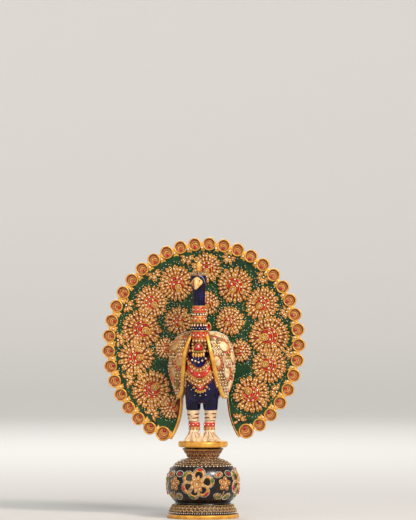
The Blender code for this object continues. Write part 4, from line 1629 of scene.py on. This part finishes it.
class Skin:
    """The bird's smooth body, to lay ornaments on."""

    def __init__(self, made):
        points = [v.co / MM for v in made.data.vertices]
        self.tree = BVHTree.FromPolygons(points, [list(f.vertices) for f in made.data.polygons])

    def pixel(self, pixel_x, pixel_y):
        """The point and normal at a photograph pixel."""
        z = (GROUND_PIXEL - pixel_y) * MM_PER_PIXEL
        start = VIEW_RIGHT * (pixel_x - AXIS_PIXEL) * MM_PER_PIXEL + UP * z + VIEW_OUT * 200.0
        point, normal, _, _ = self.tree.ray_cast(start, -VIEW_OUT)
        return point, normal

    def path(self, pixels, steps=5):
        """Points and normals along a smooth line through photograph pixels."""
        found = [self.pixel(*p) for p in smooth_rows(pixels, steps)]
        return [spot for spot in found if spot[0]]

    def around(self, z, middle_y, first=0.0, last=360.0, count=64):
        """Points and normals on a level line round an upright axis, from one turn to another."""
        made = []
        for i in range(count):
            a = math.radians(first + (last - first) * i / (count - (0 if last - first == 360.0 else 1)))
            out = Vector((math.sin(a), -math.cos(a), 0))
            point, normal, _, _ = self.tree.ray_cast(Vector((0, middle_y, z)) + out * 70.0, -out)
            if point:
                made.append((point, normal))
        return made


def add_ring_of(work, shape, ring, every, angle_up=False, across=1.0, along=1.0, lift=0.4, shift=0):
    """A shape at every few points of a level ring, pointing down, or up."""
    for i in range(shift, len(ring), every):
        point, normal = ring[i]
        way = UP if angle_up else -UP
        work.add(shape, standing(point + normal * lift, normal, way, across, along))


def make_neck_work(work, stones, skin):
    """The bands round the neck."""
    axis = -30.5
    ring = skin.around
    work.add(closed_band(ring(287.3, axis), 0.7, 0.75, "pale_gold"))
    work.add(closed_band(ring(282.7, axis), 3.9, 0.5, "bright_red", 1.0, FLAT_SECTION))
    band_ring = ring(282.7, axis, count=60)
    add_ring_of(stones, SMALL_STONE, band_ring, 6, lift=0.55)
    add_ring_of(work, TINY_LEAF, ring(285.6, axis, count=60), 6, lift=0.5, shift=3)
    add_ring_of(work, TINY_LEAF, ring(279.9, axis, count=60), 6, angle_up=True, lift=0.5, shift=3)
    work.add(closed_band(ring(278.4, axis), 0.5, 0.8, "relief_gold"))
    add_ring_of(stones, STONE, ring(276.2, axis, count=60), 4, lift=0.3)
    work.add(closed_band(ring(270.3, axis), 4.2, 0.5, "relief_gold", 1.0, FLAT_SECTION))
    add_ring_of(stones, SMALL_STONE, ring(270.4, axis, count=60), 6, lift=0.6, shift=3)
    add_ring_of(work, RED_LEAF, ring(273.8, axis, count=60), 6, lift=0.5, along=0.8)
    add_ring_of(work, RED_LEAF, ring(266.9, axis, count=60), 6, angle_up=True, lift=0.5, along=0.8, shift=3)
    work.add(closed_band(ring(265.2, axis), 0.65, 0.9, "olive"))
    add_ring_of(work, TINY_LEAF, ring(264.4, axis, count=60), 4, lift=0.3, across=1.3, along=1.5)
    add_ring_of(stones, SMALL_STONE, ring(261.4, axis, count=60), 4, lift=0.5)
    add_ring_of(stones, PIN, ring(257.4, axis, count=60), 4, lift=0.1, shift=2)
    work.add(closed_band(ring(253.8, -28.5), 0.75, 0.8, "pale_gold"))
    collar = ring(248.2, -24.0, -100.0, 100.0, 50)
    work.add(band(collar, 4.3, 0.6, "bright_red", 1.2, FLAT_SECTION))
    add_ring_of(stones, STONE, collar, 6, lift=0.7, shift=1)
    add_ring_of(work, TINY_LEAF, ring(251.8, -24.0, -100, 100, 50), 6, lift=0.6, shift=4)
    add_ring_of(work, TINY_LEAF, ring(244.6, -24.0, -100, 100, 50), 6, angle_up=True, lift=0.6, shift=4)
    work.add(band(ring(243.4, -24.0, -100.0, 100.0, 50), 0.55, 0.9, "relief_gold"))


def lay(work, shape, skin, pixel_x, pixel_y, angle=180.0, across=1.0, along=1.0, lift=0.4):
    """A shape at a pixel, pointing at an angle from straight up, turned to the right."""
    point, normal = skin.pixel(pixel_x, pixel_y)
    if point is None:
        return
    way = UP * math.cos(math.radians(angle)) + VIEW_RIGHT * math.sin(math.radians(angle))
    work.add(shape, standing(point + normal * lift, normal, way, across, along))


def spread(path_pixels, count):
    """Evenly spaced pixels on a smooth line, each with the angle at which a leaf hangs from it."""
    line = smooth_rows(path_pixels, 12)
    gone = [0.0]
    for a, b in zip(line, line[1:]):
        gone.append(gone[-1] + math.dist(a, b))
    made = []
    for k in range(count):
        wanted = gone[-1] * (k + 0.5) / count
        i = max(1, next(n for n, g in enumerate(gone) if g >= wanted))
        run = (line[i][0] - line[i - 1][0], line[i][1] - line[i - 1][1])
        made.append((*line[i], 180.0 - math.degrees(math.atan2(run[1], run[0]))))
    return made


def add_sheet(work, skin, pixels, half_width):
    """A low red-brown strip along photograph pixels."""
    path = skin.path(pixels)
    if len(path) > 2:
        work.add(band(path, taper(len(path), half_width, 0.7), 0.3, "ground", 0.8))


def make_breast_work(work, stones, skin):
    """Pendants, collars and petals on the breast, as the photograph shows them."""
    # The red-brown grounds under the gold work.
    add_sheet(work, skin, ((190.0, 341.5), (199.0, 342.6), (208.0, 341.5)), 5.4)
    add_sheet(work, skin, ((190.6, 347.6), (198.8, 348.8), (207.2, 347.6)), 4.6)
    add_sheet(work, skin, ((193.2, 353.4), (198.6, 354.2), (204.2, 353.4)), 3.9)
    side_rows = (
        (186.6, 351.0), (188.4, 359.0), (192.4, 366.0), (198.8, 369.2),
        (205.2, 366.4), (208.8, 359.0), (210.8, 351.0),
    )
    add_sheet(work, skin, side_rows, 3.4)
    low_rows = ((187.2, 376.0), (192.4, 381.2), (199.6, 383.4), (206.8, 381.0), (213.0, 374.6))
    add_sheet(work, skin, low_rows, 5.2)
    left_rows = ((191.0, 340.0), (189.8, 346.0), (188.8, 352.0))
    right_rows = ((208.0, 340.0), (209.2, 346.0), (210.2, 352.0))
    for rows in (left_rows, right_rows):
        add_sheet(work, skin, rows, 2.6)
        for x, y, _ in spread(rows, 5):
            lay(work, BREAST_LEAF, skin, x, y - 1.4, 180.0, 0.9, 0.9)
            lay(stones, SMALL_STONE, skin, x, y, lift=0.8)
    # Gold field under the collar, with stones.
    rows = ((340.2, 191.0, 207.6), (343.6, 189.8, 208.6), (347.0, 190.0, 208.2), (350.6, 190.4, 207.2))
    for y, left, right in rows:
        for k in range(7):
            x = left + (right - left) * k / 6
            if y > 342 and 193.4 < x < 203.9:
                continue
            lay(work, BREAST_LEAF, skin, x, y - 2.0, 180.0, 1.0, 0.9)
            lay(stones, STONE, skin, x, y, 180.0, lift=0.7)
    # The domed red pendant with its white drop, bar and gold fringe.
    dome = [skin.pixel(*p) for p in ((199.2, 342.6), (198.8, 345.0), (198.5, 347.4), (198.3, 349.4))]
    work.add(band(dome, [1.0, 3.6, 4.9, 5.6], [1.0, 1.5, 1.5, 1.2], "red", 0.8))
    rim = skin.path(((193.6, 349.4), (195.0, 345.6), (199.1, 341.7), (202.4, 345.2), (203.4, 349.0)))
    work.add(band(rim, 0.45, 1.5, "pale_gold"))
    lay(stones, DROP, skin, 198.7, 344.4, 180.0, 1.1, 1.0, lift=1.5)
    bar = skin.path(((192.4, 350.8), (198.4, 351.4), (204.4, 350.4)))
    work.add(band(bar, 1.25, 1.5, "olive"))
    for x, y in ((193.8, 352.2), (196.3, 352.8), (198.8, 353.0), (201.2, 352.8), (203.4, 352.0)):
        lay(work, FRINGE, skin, x, y - 0.2, 180.0)
    for x, y in ((193.6, 356.6), (198.8, 358.2), (203.8, 356.0)):
        lay(stones, PIN, skin, x, y, lift=0.2)
    # White stones on the blue crescent.
    for x, y in ((192.4, 359.4), (195.6, 360.4), (198.6, 361.6), (202.2, 360.0), (205.6, 358.0)):
        lay(stones, STONE, skin, x, y, lift=0.3)
    # Gold work on both sides of the crescent.
    left_rows = ((187.0, 352.0), (187.4, 357.0), (189.0, 362.0), (192.0, 366.4))
    right_rows = ((210.8, 352.0), (210.4, 357.0), (208.8, 361.6), (205.6, 366.2))
    for side_points in (left_rows, right_rows):
        for x, y, _ in spread(side_points, 6):
            lay(work, BREAST_LEAF, skin, x, y - 1.4, 180.0, 1.0, 0.9)
            lay(stones, SMALL_STONE, skin, x, y, lift=0.8)
    # Scallops, the red collar with stones and the gold line under it.
    scallops = ((188.6, 361.6), (191.6, 366.4), (198.6, 369.4), (205.2, 366.6), (209.4, 361.0))
    for x, y, angle in spread(scallops, 8):
        lay(work, BREAST_LEAF, skin, x, y - 1.6, angle, 1.05, 0.9)
        lay(stones, SMALL_STONE, skin, x, y, lift=0.9)
    collar_line = ((187.4, 365.4), (192.2, 371.4), (199.2, 374.4), (206.0, 371.6), (210.8, 365.0))
    collar = skin.path(collar_line)
    work.add(band(collar, taper(len(collar), 3.5, 0.45), 1.3, "bright_red", 0.8, FLAT_SECTION))
    for x, y in ((192.6, 370.4), (199.4, 374.0), (206.6, 370.4)):
        lay(stones, STONE, skin, x, y, lift=1.4)
    for shift in (-3.3, 3.6):
        line = skin.path([(x, y + shift) for x, y in collar_line])
        work.add(band(line, 0.55, 1.4, "pale_gold"))
    # Petals down both sides.
    left_rows = ((187.0, 370.0), (186.4, 378.0), (185.6, 386.0))
    right_rows = ((213.4, 372.0), (215.4, 380.0), (217.0, 386.0))
    for side_points in (left_rows, right_rows):
        add_sheet(work, skin, side_points, 2.6)
        for x, y, _ in spread(side_points, 5):
            lay(work, BREAST_LEAF, skin, x, y - 1.5, 180.0, 0.9, 1.0)
            lay(stones, SMALL_STONE, skin, x, y, lift=0.8)
    # Rows of petals under the collar, and the pendant flower.
    first_row = ((186.4, 372.4), (192.0, 378.4), (199.4, 381.2), (207.0, 378.2), (212.6, 371.6))
    second_row = ((186.8, 377.4), (192.4, 382.4), (199.6, 385.0), (206.8, 382.0), (212.8, 376.4))
    for pixels, number in ((first_row, 11), (second_row, 10)):
        for x, y, angle in spread(pixels, number):
            lay(work, BREAST_LEAF, skin, x, y - 2.2, angle, 1.1, 1.1)
            lay(stones, SMALL_STONE, skin, x, y - 0.6, lift=0.9)
    flower = (200.4, 386.2)
    for k in range(6):
        lay(work, RED_LEAF, skin, *flower, 60.0 * k + 30.0, 1.7, 1.6, lift=0.7)
    lay(stones, STONE, skin, *flower, lift=1.3)
    fringe = (
        (212, 197.0, 388.4), (180, 200.4, 389.6), (148, 204.0, 388.4), (240, 195.4, 386.0),
        (120, 205.4, 385.6), (196, 198.6, 389.2), (164, 202.2, 389.2),
    )
    for angle, x, y in fringe:
        lay(work, FRINGE, skin, x, y, angle, 1.0, 0.75)
        a = math.radians(angle)
        lay(stones, PIN, skin, x + 2.6 * math.sin(a), y - 2.6 * math.cos(a), lift=1.0)
    drops = ((195.0, 394.4), (200.2, 395.0), (205.8, 394.2), (191.4, 389.0), (209.2, 388.4), (188.6, 385.0))
    for x, y in drops:
        lay(stones, PIN, skin, x, y, across=1.2, along=1.2, lift=0.1)


def make_head_work(work, stones, skin, beak):
    """The fringe on the crown, the lines round the beak, a painted highlight on the head's lit side, painted
    shade on the beak's side away from the light, and the eyes.
    """
    for k in range(16):
        a = math.tau * (k + 0.5) / 16
        out = Vector((math.sin(a), -math.cos(a), 0))
        start = Vector((0, CREST_Y, PLINTH_TOP + 226.6)) + out * 30
        point, normal, _, _ = skin.tree.ray_cast(start, -out)
        if point is None:
            continue
        work.add(CROWN_LEAF, standing(point + normal * 0.2 - UP * 1.6, normal, UP + out * 0.2, 1.0, 0.9))
        stones.add(PIN, standing(point + normal * 1.0, normal, UP))
    crown = skin.around(PLINTH_TOP + 225.4, CREST_Y, count=48)
    work.add(closed_band(crown, 0.5, 0.8, "pale_gold"))
    dark = (
        (190.4, 281.6), (191.0, 278.6), (193.2, 276.2), (196.6, 275.3),
        (200.4, 277.0), (203.4, 281.0), (204.2, 284.0),
    )
    work.add(band(skin.path(dark), 1.0, 0.5, "black"))
    # A pale blue line on the head's lit side, above the dark band: a painted highlight.
    pale = ((199.1, 274.8), (202.3, 277.0), (204.2, 280.4), (205.0, 283.2))
    work.add(band(skin.path(pale), 0.5, 0.5, "sky"))
    nostril = ((200.2, 279.6), (199.5, 281.0), (199.9, 282.5))
    # A brown band down the beak's side away from the light: painted shade.
    shaded_flank = ((194.2, 279.8), (193.3, 283.0), (194.2, 287.2))
    for pixels, half in ((nostril, 1.0), (shaded_flank, 1.7)):
        path = beak.path(pixels)
        if len(path) > 2:
            work.add(band(path, taper(len(path), half, 0.3), 0.3, "cup_wall", 0.3))
    for side in (-1, 1):
        start = Vector((side * 40.0, -38.5, PLINTH_TOP + 219.5))
        point, normal, _, _ = skin.tree.ray_cast(start, Vector((-side, 0, 0)))
        work.add(EYE_WHITE, standing(point + Vector((0, 3.6, 0)), normal, Vector((0, -1, 0.05))))
        work.add(bead(1.25, "black"), standing(point + normal * 0.35, normal, UP))


# The painted wings lie a little inside the solid ones, so that their feathers end at its outline.
WING_INSET = ((58.0, 4.2), (61.5, 4.2), (68.0, 3.0), (76.0, 2.0), (90.0, 1.2), (105.0, 0.8), (147.5, 0.6))
WING_ROWS = [(row[0], row[1] - row_at(WING_INSET, row[0])[1], row[2], row[3]) for row in smooth_rows(WING, 5)]


def on_wing(side, height, turn):
    """A point of a wing's feathered side: turn 0 at the strip, 90 at the widest, 120 at the tail."""

    def place(h, t):
        level = max(58.0, min(147.4, h))
        _, outer, edge, reach = row_at(WING_ROWS, level)
        front = reach - 2.0
        if t <= 90.0:
            a = math.radians(t)
            x = edge - 1.2 + (outer - edge + 1.2) * math.sin(a)
            y = WING_WIDEST_Y - max(0.0, front + WING_WIDEST_Y) * math.cos(a)
        else:
            part = (t - 90.0) / 30.0
            x = outer - 3.0 * part
            y = WING_WIDEST_Y + (BACK_Y - WING_WIDEST_Y) * part
        root = Vector((edge - 5.0, BACK_Y, PLINTH_TOP + h))
        return root + (Vector((x, y, PLINTH_TOP + h)) - root) * wing_rounding(level)

    point = place(height, turn)
    by_turn = place(height, turn + 1.0) - place(height, turn - 1.0)
    by_height = place(height + 0.8, turn) - place(height - 0.8, turn)
    normal = by_turn.cross(by_height).normalized()
    if normal.dot(Vector((1, -0.6, 0))) < 0:
        normal = -normal
    return Vector((side * point.x, point.y, point.z)), Vector((side * normal.x, normal.y, normal.z))


def wing_place(pixel_x, pixel_y):
    """Height and turn on the right wing of a photograph pixel."""
    height = (GROUND_PIXEL - pixel_y) * MM_PER_PIXEL - PLINTH_TOP
    wanted = (pixel_x - AXIS_PIXEL) * MM_PER_PIXEL
    best = min(range(100), key=lambda t: abs(on_wing(1, height, t)[0].dot(VIEW_RIGHT) - wanted))
    return height, float(best)


def wing_scale(height, turn):
    """Millimetres for each degree of turn."""
    return (on_wing(1, height, turn + 2.0)[0] - on_wing(1, height, turn - 2.0)[0]).length / 4.0


# Each row: left, right, top and bottom pixel of a cream feather on the right wing.
WING_OVALS = (
    (219.3, 227.4, 341.0, 350.6),
    (213.4, 220.5, 355.2, 366.6),
    (223.6, 229.4, 366.8, 378.0),
    (230.4, 233.6, 352.0, 362.0),
    (227.6, 232.0, 379.6, 389.6),
)
# Cream feathers on the side that the photograph doesn't show: height, turn, half turn, half height.
SIDE_OVALS = (
    (122.0, 96.0, 11.0, 6.5),
    (86.0, 88.0, 10.0, 7.5),
    (104.0, 104.0, 10.0, 7.5),
    (68.0, 96.0, 11.0, 6.0),
)


def wing_oval_sizes():
    """Height, turn, half turn and half height of every cream feather."""
    made = []
    for left, right, top, bottom in WING_OVALS:
        middle_y = (top + bottom) / 2
        height, low = wing_place(left, middle_y)
        _, high = wing_place(right, middle_y)
        made.append((height, (low + high) / 2, max(4.0, (high - low) / 2), (bottom - top) * MM_PER_PIXEL / 2))
    return made + [tuple(row) for row in SIDE_OVALS]


def wing_cream(side):
    """The pale paint of a wing, which is darker on the bird's right wing: painted shade of the side away from
    the light.
    """
    return "cream" if side > 0 else "ochre_cream"


def add_wing_oval(work, stones, side, height, turn, half_turn, half_height):
    """A cream feather with a gold line and a scalloped red rim round its outer side."""
    rings = []
    for share, rise in ((1.0, -0.5), (1.0, 0.5), (0.86, 0.95), (0.4, 1.15)):
        ring = []
        for i in range(24):
            a = math.tau * i / 24
            up = half_height * share * math.sin(a)
            point, normal = on_wing(side, height + up, max(0.0, turn + half_turn * share * math.cos(a)))
            ring.append(point + normal * rise)
        rings.append(ring if side > 0 else ring[::-1])
    cream = wing_cream(side)
    work.add(stacked(rings, ["pale_gold", cream, cream, cream]))
    scale = max(0.2, wing_scale(height, turn))
    rims = ((0.9, 0.4, 1.1, "pale_gold", 118), (2.5, 1.35, 1.0, "bright_red", 104))
    for extra, half, rise, name, span in rims:
        path = []
        for i in range(25):
            a = math.radians(-span + 2 * span * i / 24)
            wide = half_turn + extra / scale
            tall = half_height + extra
            path.append(on_wing(side, height + tall * math.sin(a), max(0.0, turn + wide * math.cos(a))))
        work.add(band(path, taper(25, half, 0.5), rise, name))
        if name == "bright_red":
            for k in range(2, 24, 3):
                point, normal = path[k]
                work.add(LOBE, standing(point + normal * 0.3, normal, UP))
                stones.add(PIN, standing(point + normal * 1.3, normal, UP))


# Lines on a wing, as (height, turn): beside the strip, where a dark red line is painted shade of the groove
# between strip and wing, low on the wing, along its top and under that.
STRIP_SHADE_LINE = ((62.0, 5.0), (75.0, 4.0), (92.0, 3.5), (108.0, 3.0), (124.0, 3.0), (140.0, 3.0))
LOW_LINE = ((62.0, 11.0), (75.0, 8.5), (92.0, 6.5), (100.0, 5.5))
TOP_LINE = ((145.6, 14.0), (144.4, 36.0), (140.6, 56.0), (133.0, 72.0), (124.0, 80.0))
UNDER_TOP_LINE = ((142.2, 16.0), (140.6, 36.0), (136.4, 54.0), (129.0, 67.0))


def make_wing_work(work, stones):
    """Feathers, petals, stones and lines on both wings."""
    ovals = wing_oval_sizes()
    for side in (-1, 1):
        for oval in ovals:
            add_wing_oval(work, stones, side, *oval)
        height = 63.0
        row = 0
        while height < 143.0:
            turn = 5.0 + (3.0 if row % 2 else 0.0)
            while turn < 116.0:
                scale = max(0.16, wing_scale(height, turn))
                inside = False
                for oval_height, oval_turn, half_turn, half_height in ovals:
                    margin = 3.6 if turn > oval_turn else 1.5
                    wide = half_turn + margin / max(0.2, wing_scale(oval_height, oval_turn))
                    tall = half_height + margin
                    away = math.hypot((turn - oval_turn) / wide, (height - oval_height) / tall)
                    inside = inside or away < 1.0
                if not inside:
                    point, normal = on_wing(side, height, turn)
                    way = -UP + Vector((side * 0.35, 0.2, 0))
                    shape = random.choice(LEFT_WING_LEAVES if side < 0 else RIGHT_WING_LEAVES)
                    work.add(shape, standing(point + normal * 0.2, normal, way))
                    if random.random() < 0.75:
                        forward = way.normalized()
                        stones.add(SMALL_STONE, standing(point + forward * 1.6 + normal * 0.8, normal, way))
                turn += 3.5 / scale
            height += 4.1
            row += 1
        edges = (
            # The dark red line beside the strip is painted shade of the groove between strip and wing.
            ("dark_red", 0.8, 0.6, STRIP_SHADE_LINE),
            ("pale_gold", 0.55, 0.9, LOW_LINE),
            (wing_cream(side), 1.9, 1.2, TOP_LINE),
            ("bright_red", 0.55, 1.1, UNDER_TOP_LINE),
        )
        for name, half, rise, rows in edges:
            path = [on_wing(side, h, t) for h, t in smooth_rows(rows, 6)]
            work.add(band(path, taper(len(path), half, 0.5), rise, name))


LEG_SIZES = ((15.0, 6.95), (20.5, 6.85), (24.0, 6.95), (28.0, 7.2), (32.0, 7.5), (36.0, 7.9), (46.0, 8.6))


def leg_spot(side, height, turn):
    """A point and normal of a leg or foot at a height above the plinth and a turn from straight ahead."""

    def place(h, t):
        if h >= 15.0:
            reach = row_at(LEG_SIZES, min(46.0, h))[1]
        else:
            share = row_at(FOOT_SPREAD, max(0.0, h))[1]
            reach = ANKLE_RADIUS + (foot_reach(t) - ANKLE_RADIUS) * share
        a = math.radians(t)
        middle = side * leg_middle(h)
        return Vector((middle + reach * math.sin(a), LEG_Y - reach * math.cos(a), PLINTH_TOP + h))

    point = place(height, turn)
    by_turn = place(height, turn + 1.0) - place(height, turn - 1.0)
    by_height = place(height + 0.4, turn) - place(height - 0.4, turn)
    return point, by_turn.cross(by_height).normalized()


def leg_ring(side, height):
    """A level ring of points on a leg."""
    return [leg_spot(side, height, 9.0 * i) for i in range(40)]


def make_leg_work(work, stones):
    """Stripes, anklets and toe lines."""
    for side in (-1, 1):
        stripes = (
            (37.0, 1.0, ((-95, -18), (16, 80), (150, 230))),
            (32.0, 0.95, ((-80, 4), (34, 100), (140, 250))),
            (27.4, 0.6, ((-100, 260),)),
        )
        for height, half, spans in stripes:
            for first, last in spans:
                path = []
                for i in range(13):
                    turn = side * (first + (last - first) * i / 12)
                    path.append(leg_spot(side, height + 0.8 * math.sin(math.radians(turn + 50 * side)), turn))
                work.add(band(path, taper(13, half, 0.25), 0.4, "dark_red", 0.4))
        anklet = leg_ring(side, 22.9)
        work.add(closed_band(anklet, 2.9, 0.75, "bright_red", 0.6, FLAT_SECTION))
        add_ring_of(stones, SMALL_STONE, anklet, 5, lift=0.8)
        add_ring_of(work, TINY_LEAF, leg_ring(side, 20.2), 4, across=1.5, along=1.5, lift=0.2)
        add_ring_of(stones, PIN, leg_ring(side, 17.6), 4, lift=0.6, shift=2)
        heights = (13.0, 10.0, 7.0, 4.5, 2.6, 1.2, 0.4)
        for turn in (-40.0, -5.0, 30.0, 65.0):
            path = [leg_spot(side, h, turn * (0.55 + 0.45 * (1 - h / 13.0))) for h in heights]
            work.add(band(path, 0.36, 0.3, "skin_line"))


def make_wing_tops(work, stones, skin):
    """The same small feathers on the level tops of the wings."""
    for side in (-1, 1):
        for row in range(12):
            for column in range(12):
                x = side * (6.0 + 3.6 * column + (1.8 if row % 2 else 0.0))
                start = Vector((x, 5.0 - 3.7 * row, PLINTH_TOP + 160.0))
                point, normal, _, _ = skin.tree.ray_cast(start, -UP)
                if point is None or normal.z < 0.7 or point.z < PLINTH_TOP + 138.0:
                    continue
                way = Vector((side * 0.3, 1.0, 0.0))
                shape = random.choice((WING_LEAF, WING_LEAF_DARK, WING_LEAF_CREAM))
                work.add(shape, standing(point + normal * 0.1, normal, way))
                stones.add(SMALL_STONE, standing(point + way.normalized() * 1.6 + normal * 0.7, normal, way))


def make_bird_work(body, head, feathers):
    """All raised work on the bird."""
    skin = Skin(body)
    breast = Work()
    stones = Work()
    wings = Work()
    make_neck_work(breast, stones, skin)
    make_breast_work(breast, stones, skin)
    make_head_work(breast, stones, skin, Skin(head))
    make_leg_work(breast, stones)
    make_wing_work(wings, stones)
    make_wing_tops(wings, stones, Skin(feathers))
    breast.piece("bird_ornaments")
    wings.piece("wing_feathers")
    stones.piece("bird_stones")


# Camera, stage and light.


def make_camera():
    """The camera that stands where the photograph was taken from."""
    aim = Vector((0, 0, (GROUND_PIXEL - FRAME_HEIGHT / 2) * MM_PER_PIXEL))
    aim += VIEW_RIGHT * (FRAME_WIDTH / 2 - AXIS_PIXEL) * MM_PER_PIXEL
    data = bpy.data.cameras.new("camera")
    data.sensor_fit = "VERTICAL"
    data.sensor_height = 36.0
    data.lens = 36.0 * VIEW_DISTANCE / (FRAME_HEIGHT * MM_PER_PIXEL)
    data.clip_start = 0.1
    data.clip_end = 60.0
    camera = bpy.data.objects.new("camera", data)
    camera.rotation_mode = "QUATERNION"
    camera.rotation_quaternion = (-VIEW_OUT).to_track_quat("-Z", "Y")
    camera.location = (aim + VIEW_OUT * VIEW_DISTANCE) * MM
    scene.collection.objects.link(camera)
    scene.camera = camera
    return camera


def make_stage():
    """A pale round floor that curves up far away, painted greyer near its middle as shade round the figurine.
    """
    mesh = bpy.data.meshes.new("studio_floor")
    data = bmesh.new()
    rows = [(0.5, 0.0), (2.0, 0.0), (5.0, 0.0), (7.0, 0.0), (8.0, 0.12), (9.0, 0.6)]
    rows += [(9.8, 1.5), (10.4, 3.0), (10.8, 6.0)]
    loops = []
    for radius, z in rows:
        turns = [math.tau * i / 96 for i in range(96)]
        loops.append([data.verts.new((radius * math.cos(a), radius * math.sin(a), z)) for a in turns])
    for low, high in zip(loops, loops[1:]):
        for i in range(96):
            j = (i + 1) % 96
            data.faces.new((low[i], low[j], high[j], high[i]))
    data.faces.new(loops[0])
    bmesh.ops.recalc_face_normals(data, faces=data.faces)
    data.to_mesh(mesh)
    data.free()
    floor = bpy.data.objects.new("studio_floor", mesh)
    for face in mesh.polygons:
        face.use_smooth = True
    paper = bpy.data.materials.new("studio_paper")
    paper.use_nodes = True
    shader = paper.node_tree.nodes["Principled BSDF"]
    place = paper.node_tree.nodes.new("ShaderNodeTexCoord")
    away = paper.node_tree.nodes.new("ShaderNodeVectorMath")
    away.operation = "LENGTH"
    paper.node_tree.links.new(place.outputs["Object"], away.inputs[0])
    # Greyer within reach of the figurine and pale further out: a painted shade pool round it.
    tone = paper.node_tree.nodes.new("ShaderNodeMapRange")
    tone.inputs["From Min"].default_value = 0.6
    tone.inputs["From Max"].default_value = 3.0
    paper.node_tree.links.new(away.outputs["Value"], tone.inputs["Value"])
    blend = paper.node_tree.nodes.new("ShaderNodeMix")
    blend.data_type = "RGBA"
    blend.inputs["A"].default_value = (*linear(196, 192, 187), 1.0)
    blend.inputs["B"].default_value = (*linear(240, 237, 232), 1.0)
    paper.node_tree.links.new(tone.outputs["Result"], blend.inputs["Factor"])
    paper.node_tree.links.new(blend.outputs["Result"], shader.inputs["Base Color"])
    shader.inputs["Roughness"].default_value = 0.8
    shader.inputs["Specular IOR Level"].default_value = 0.2
    mesh.materials.append(paper)
    scene.collection.objects.link(floor)


def add_light(name, place, size, power, colour):
    """A soft square light that faces the middle of the figurine."""
    data = bpy.data.lights.new(name, "AREA")
    data.shape = "SQUARE"
    data.size = size
    data.energy = power
    data.color = colour
    light = bpy.data.objects.new(name, data)
    light.location = place
    light.rotation_mode = "QUATERNION"
    light.rotation_quaternion = (Vector((0, 0, 0.2)) - Vector(place)).to_track_quat("-Z", "Y")
    scene.collection.objects.link(light)


def make_light():
    """Soft studio light: a key from the front right, a warm fill from the left and a light from behind."""
    add_light("key_light", (1.75, -1.5, 2.0), 0.6, 72.0, (1.0, 0.96, 0.89))
    add_light("fill_light", (-1.6, -2.1, 0.9), 1.6, 15.0, (1.0, 0.88, 0.74))
    add_light("rim_light", (-0.6, 2.0, 1.9), 1.2, 30.0, (0.95, 0.97, 1.0))
    sun = bpy.data.lights.new("studio_sun", "SUN")
    sun.energy = 1.1
    sun.angle = math.radians(20)
    sun.color = (1.0, 0.97, 0.93)
    made = bpy.data.objects.new("studio_sun", sun)
    made.rotation_mode = "QUATERNION"
    made.rotation_quaternion = Vector((-0.35, 0.72, -0.6)).to_track_quat("-Z", "Y")
    scene.collection.objects.link(made)
    world = bpy.data.worlds.new("studio")
    world.use_nodes = True
    world.node_tree.nodes["Background"].inputs["Color"].default_value = (0.86, 0.88, 0.92, 1.0)
    world.node_tree.nodes["Background"].inputs["Strength"].default_value = 0.42
    scene.world = world
    scene.view_settings.view_transform = "Standard"
    scene.view_settings.look = "None"


def main():
    """Makes the camera, every piece, the stage and the light."""
    make_camera()
    make_plate()
    make_cups()
    make_back_work()
    make_fan_work()
    make_pot()
    make_pot_work()
    body = make_body()
    feathers = make_wings()
    make_legs()
    head = make_head()
    make_bird_work(body, head, feathers)
    make_stage()
    make_light()
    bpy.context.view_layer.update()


main()
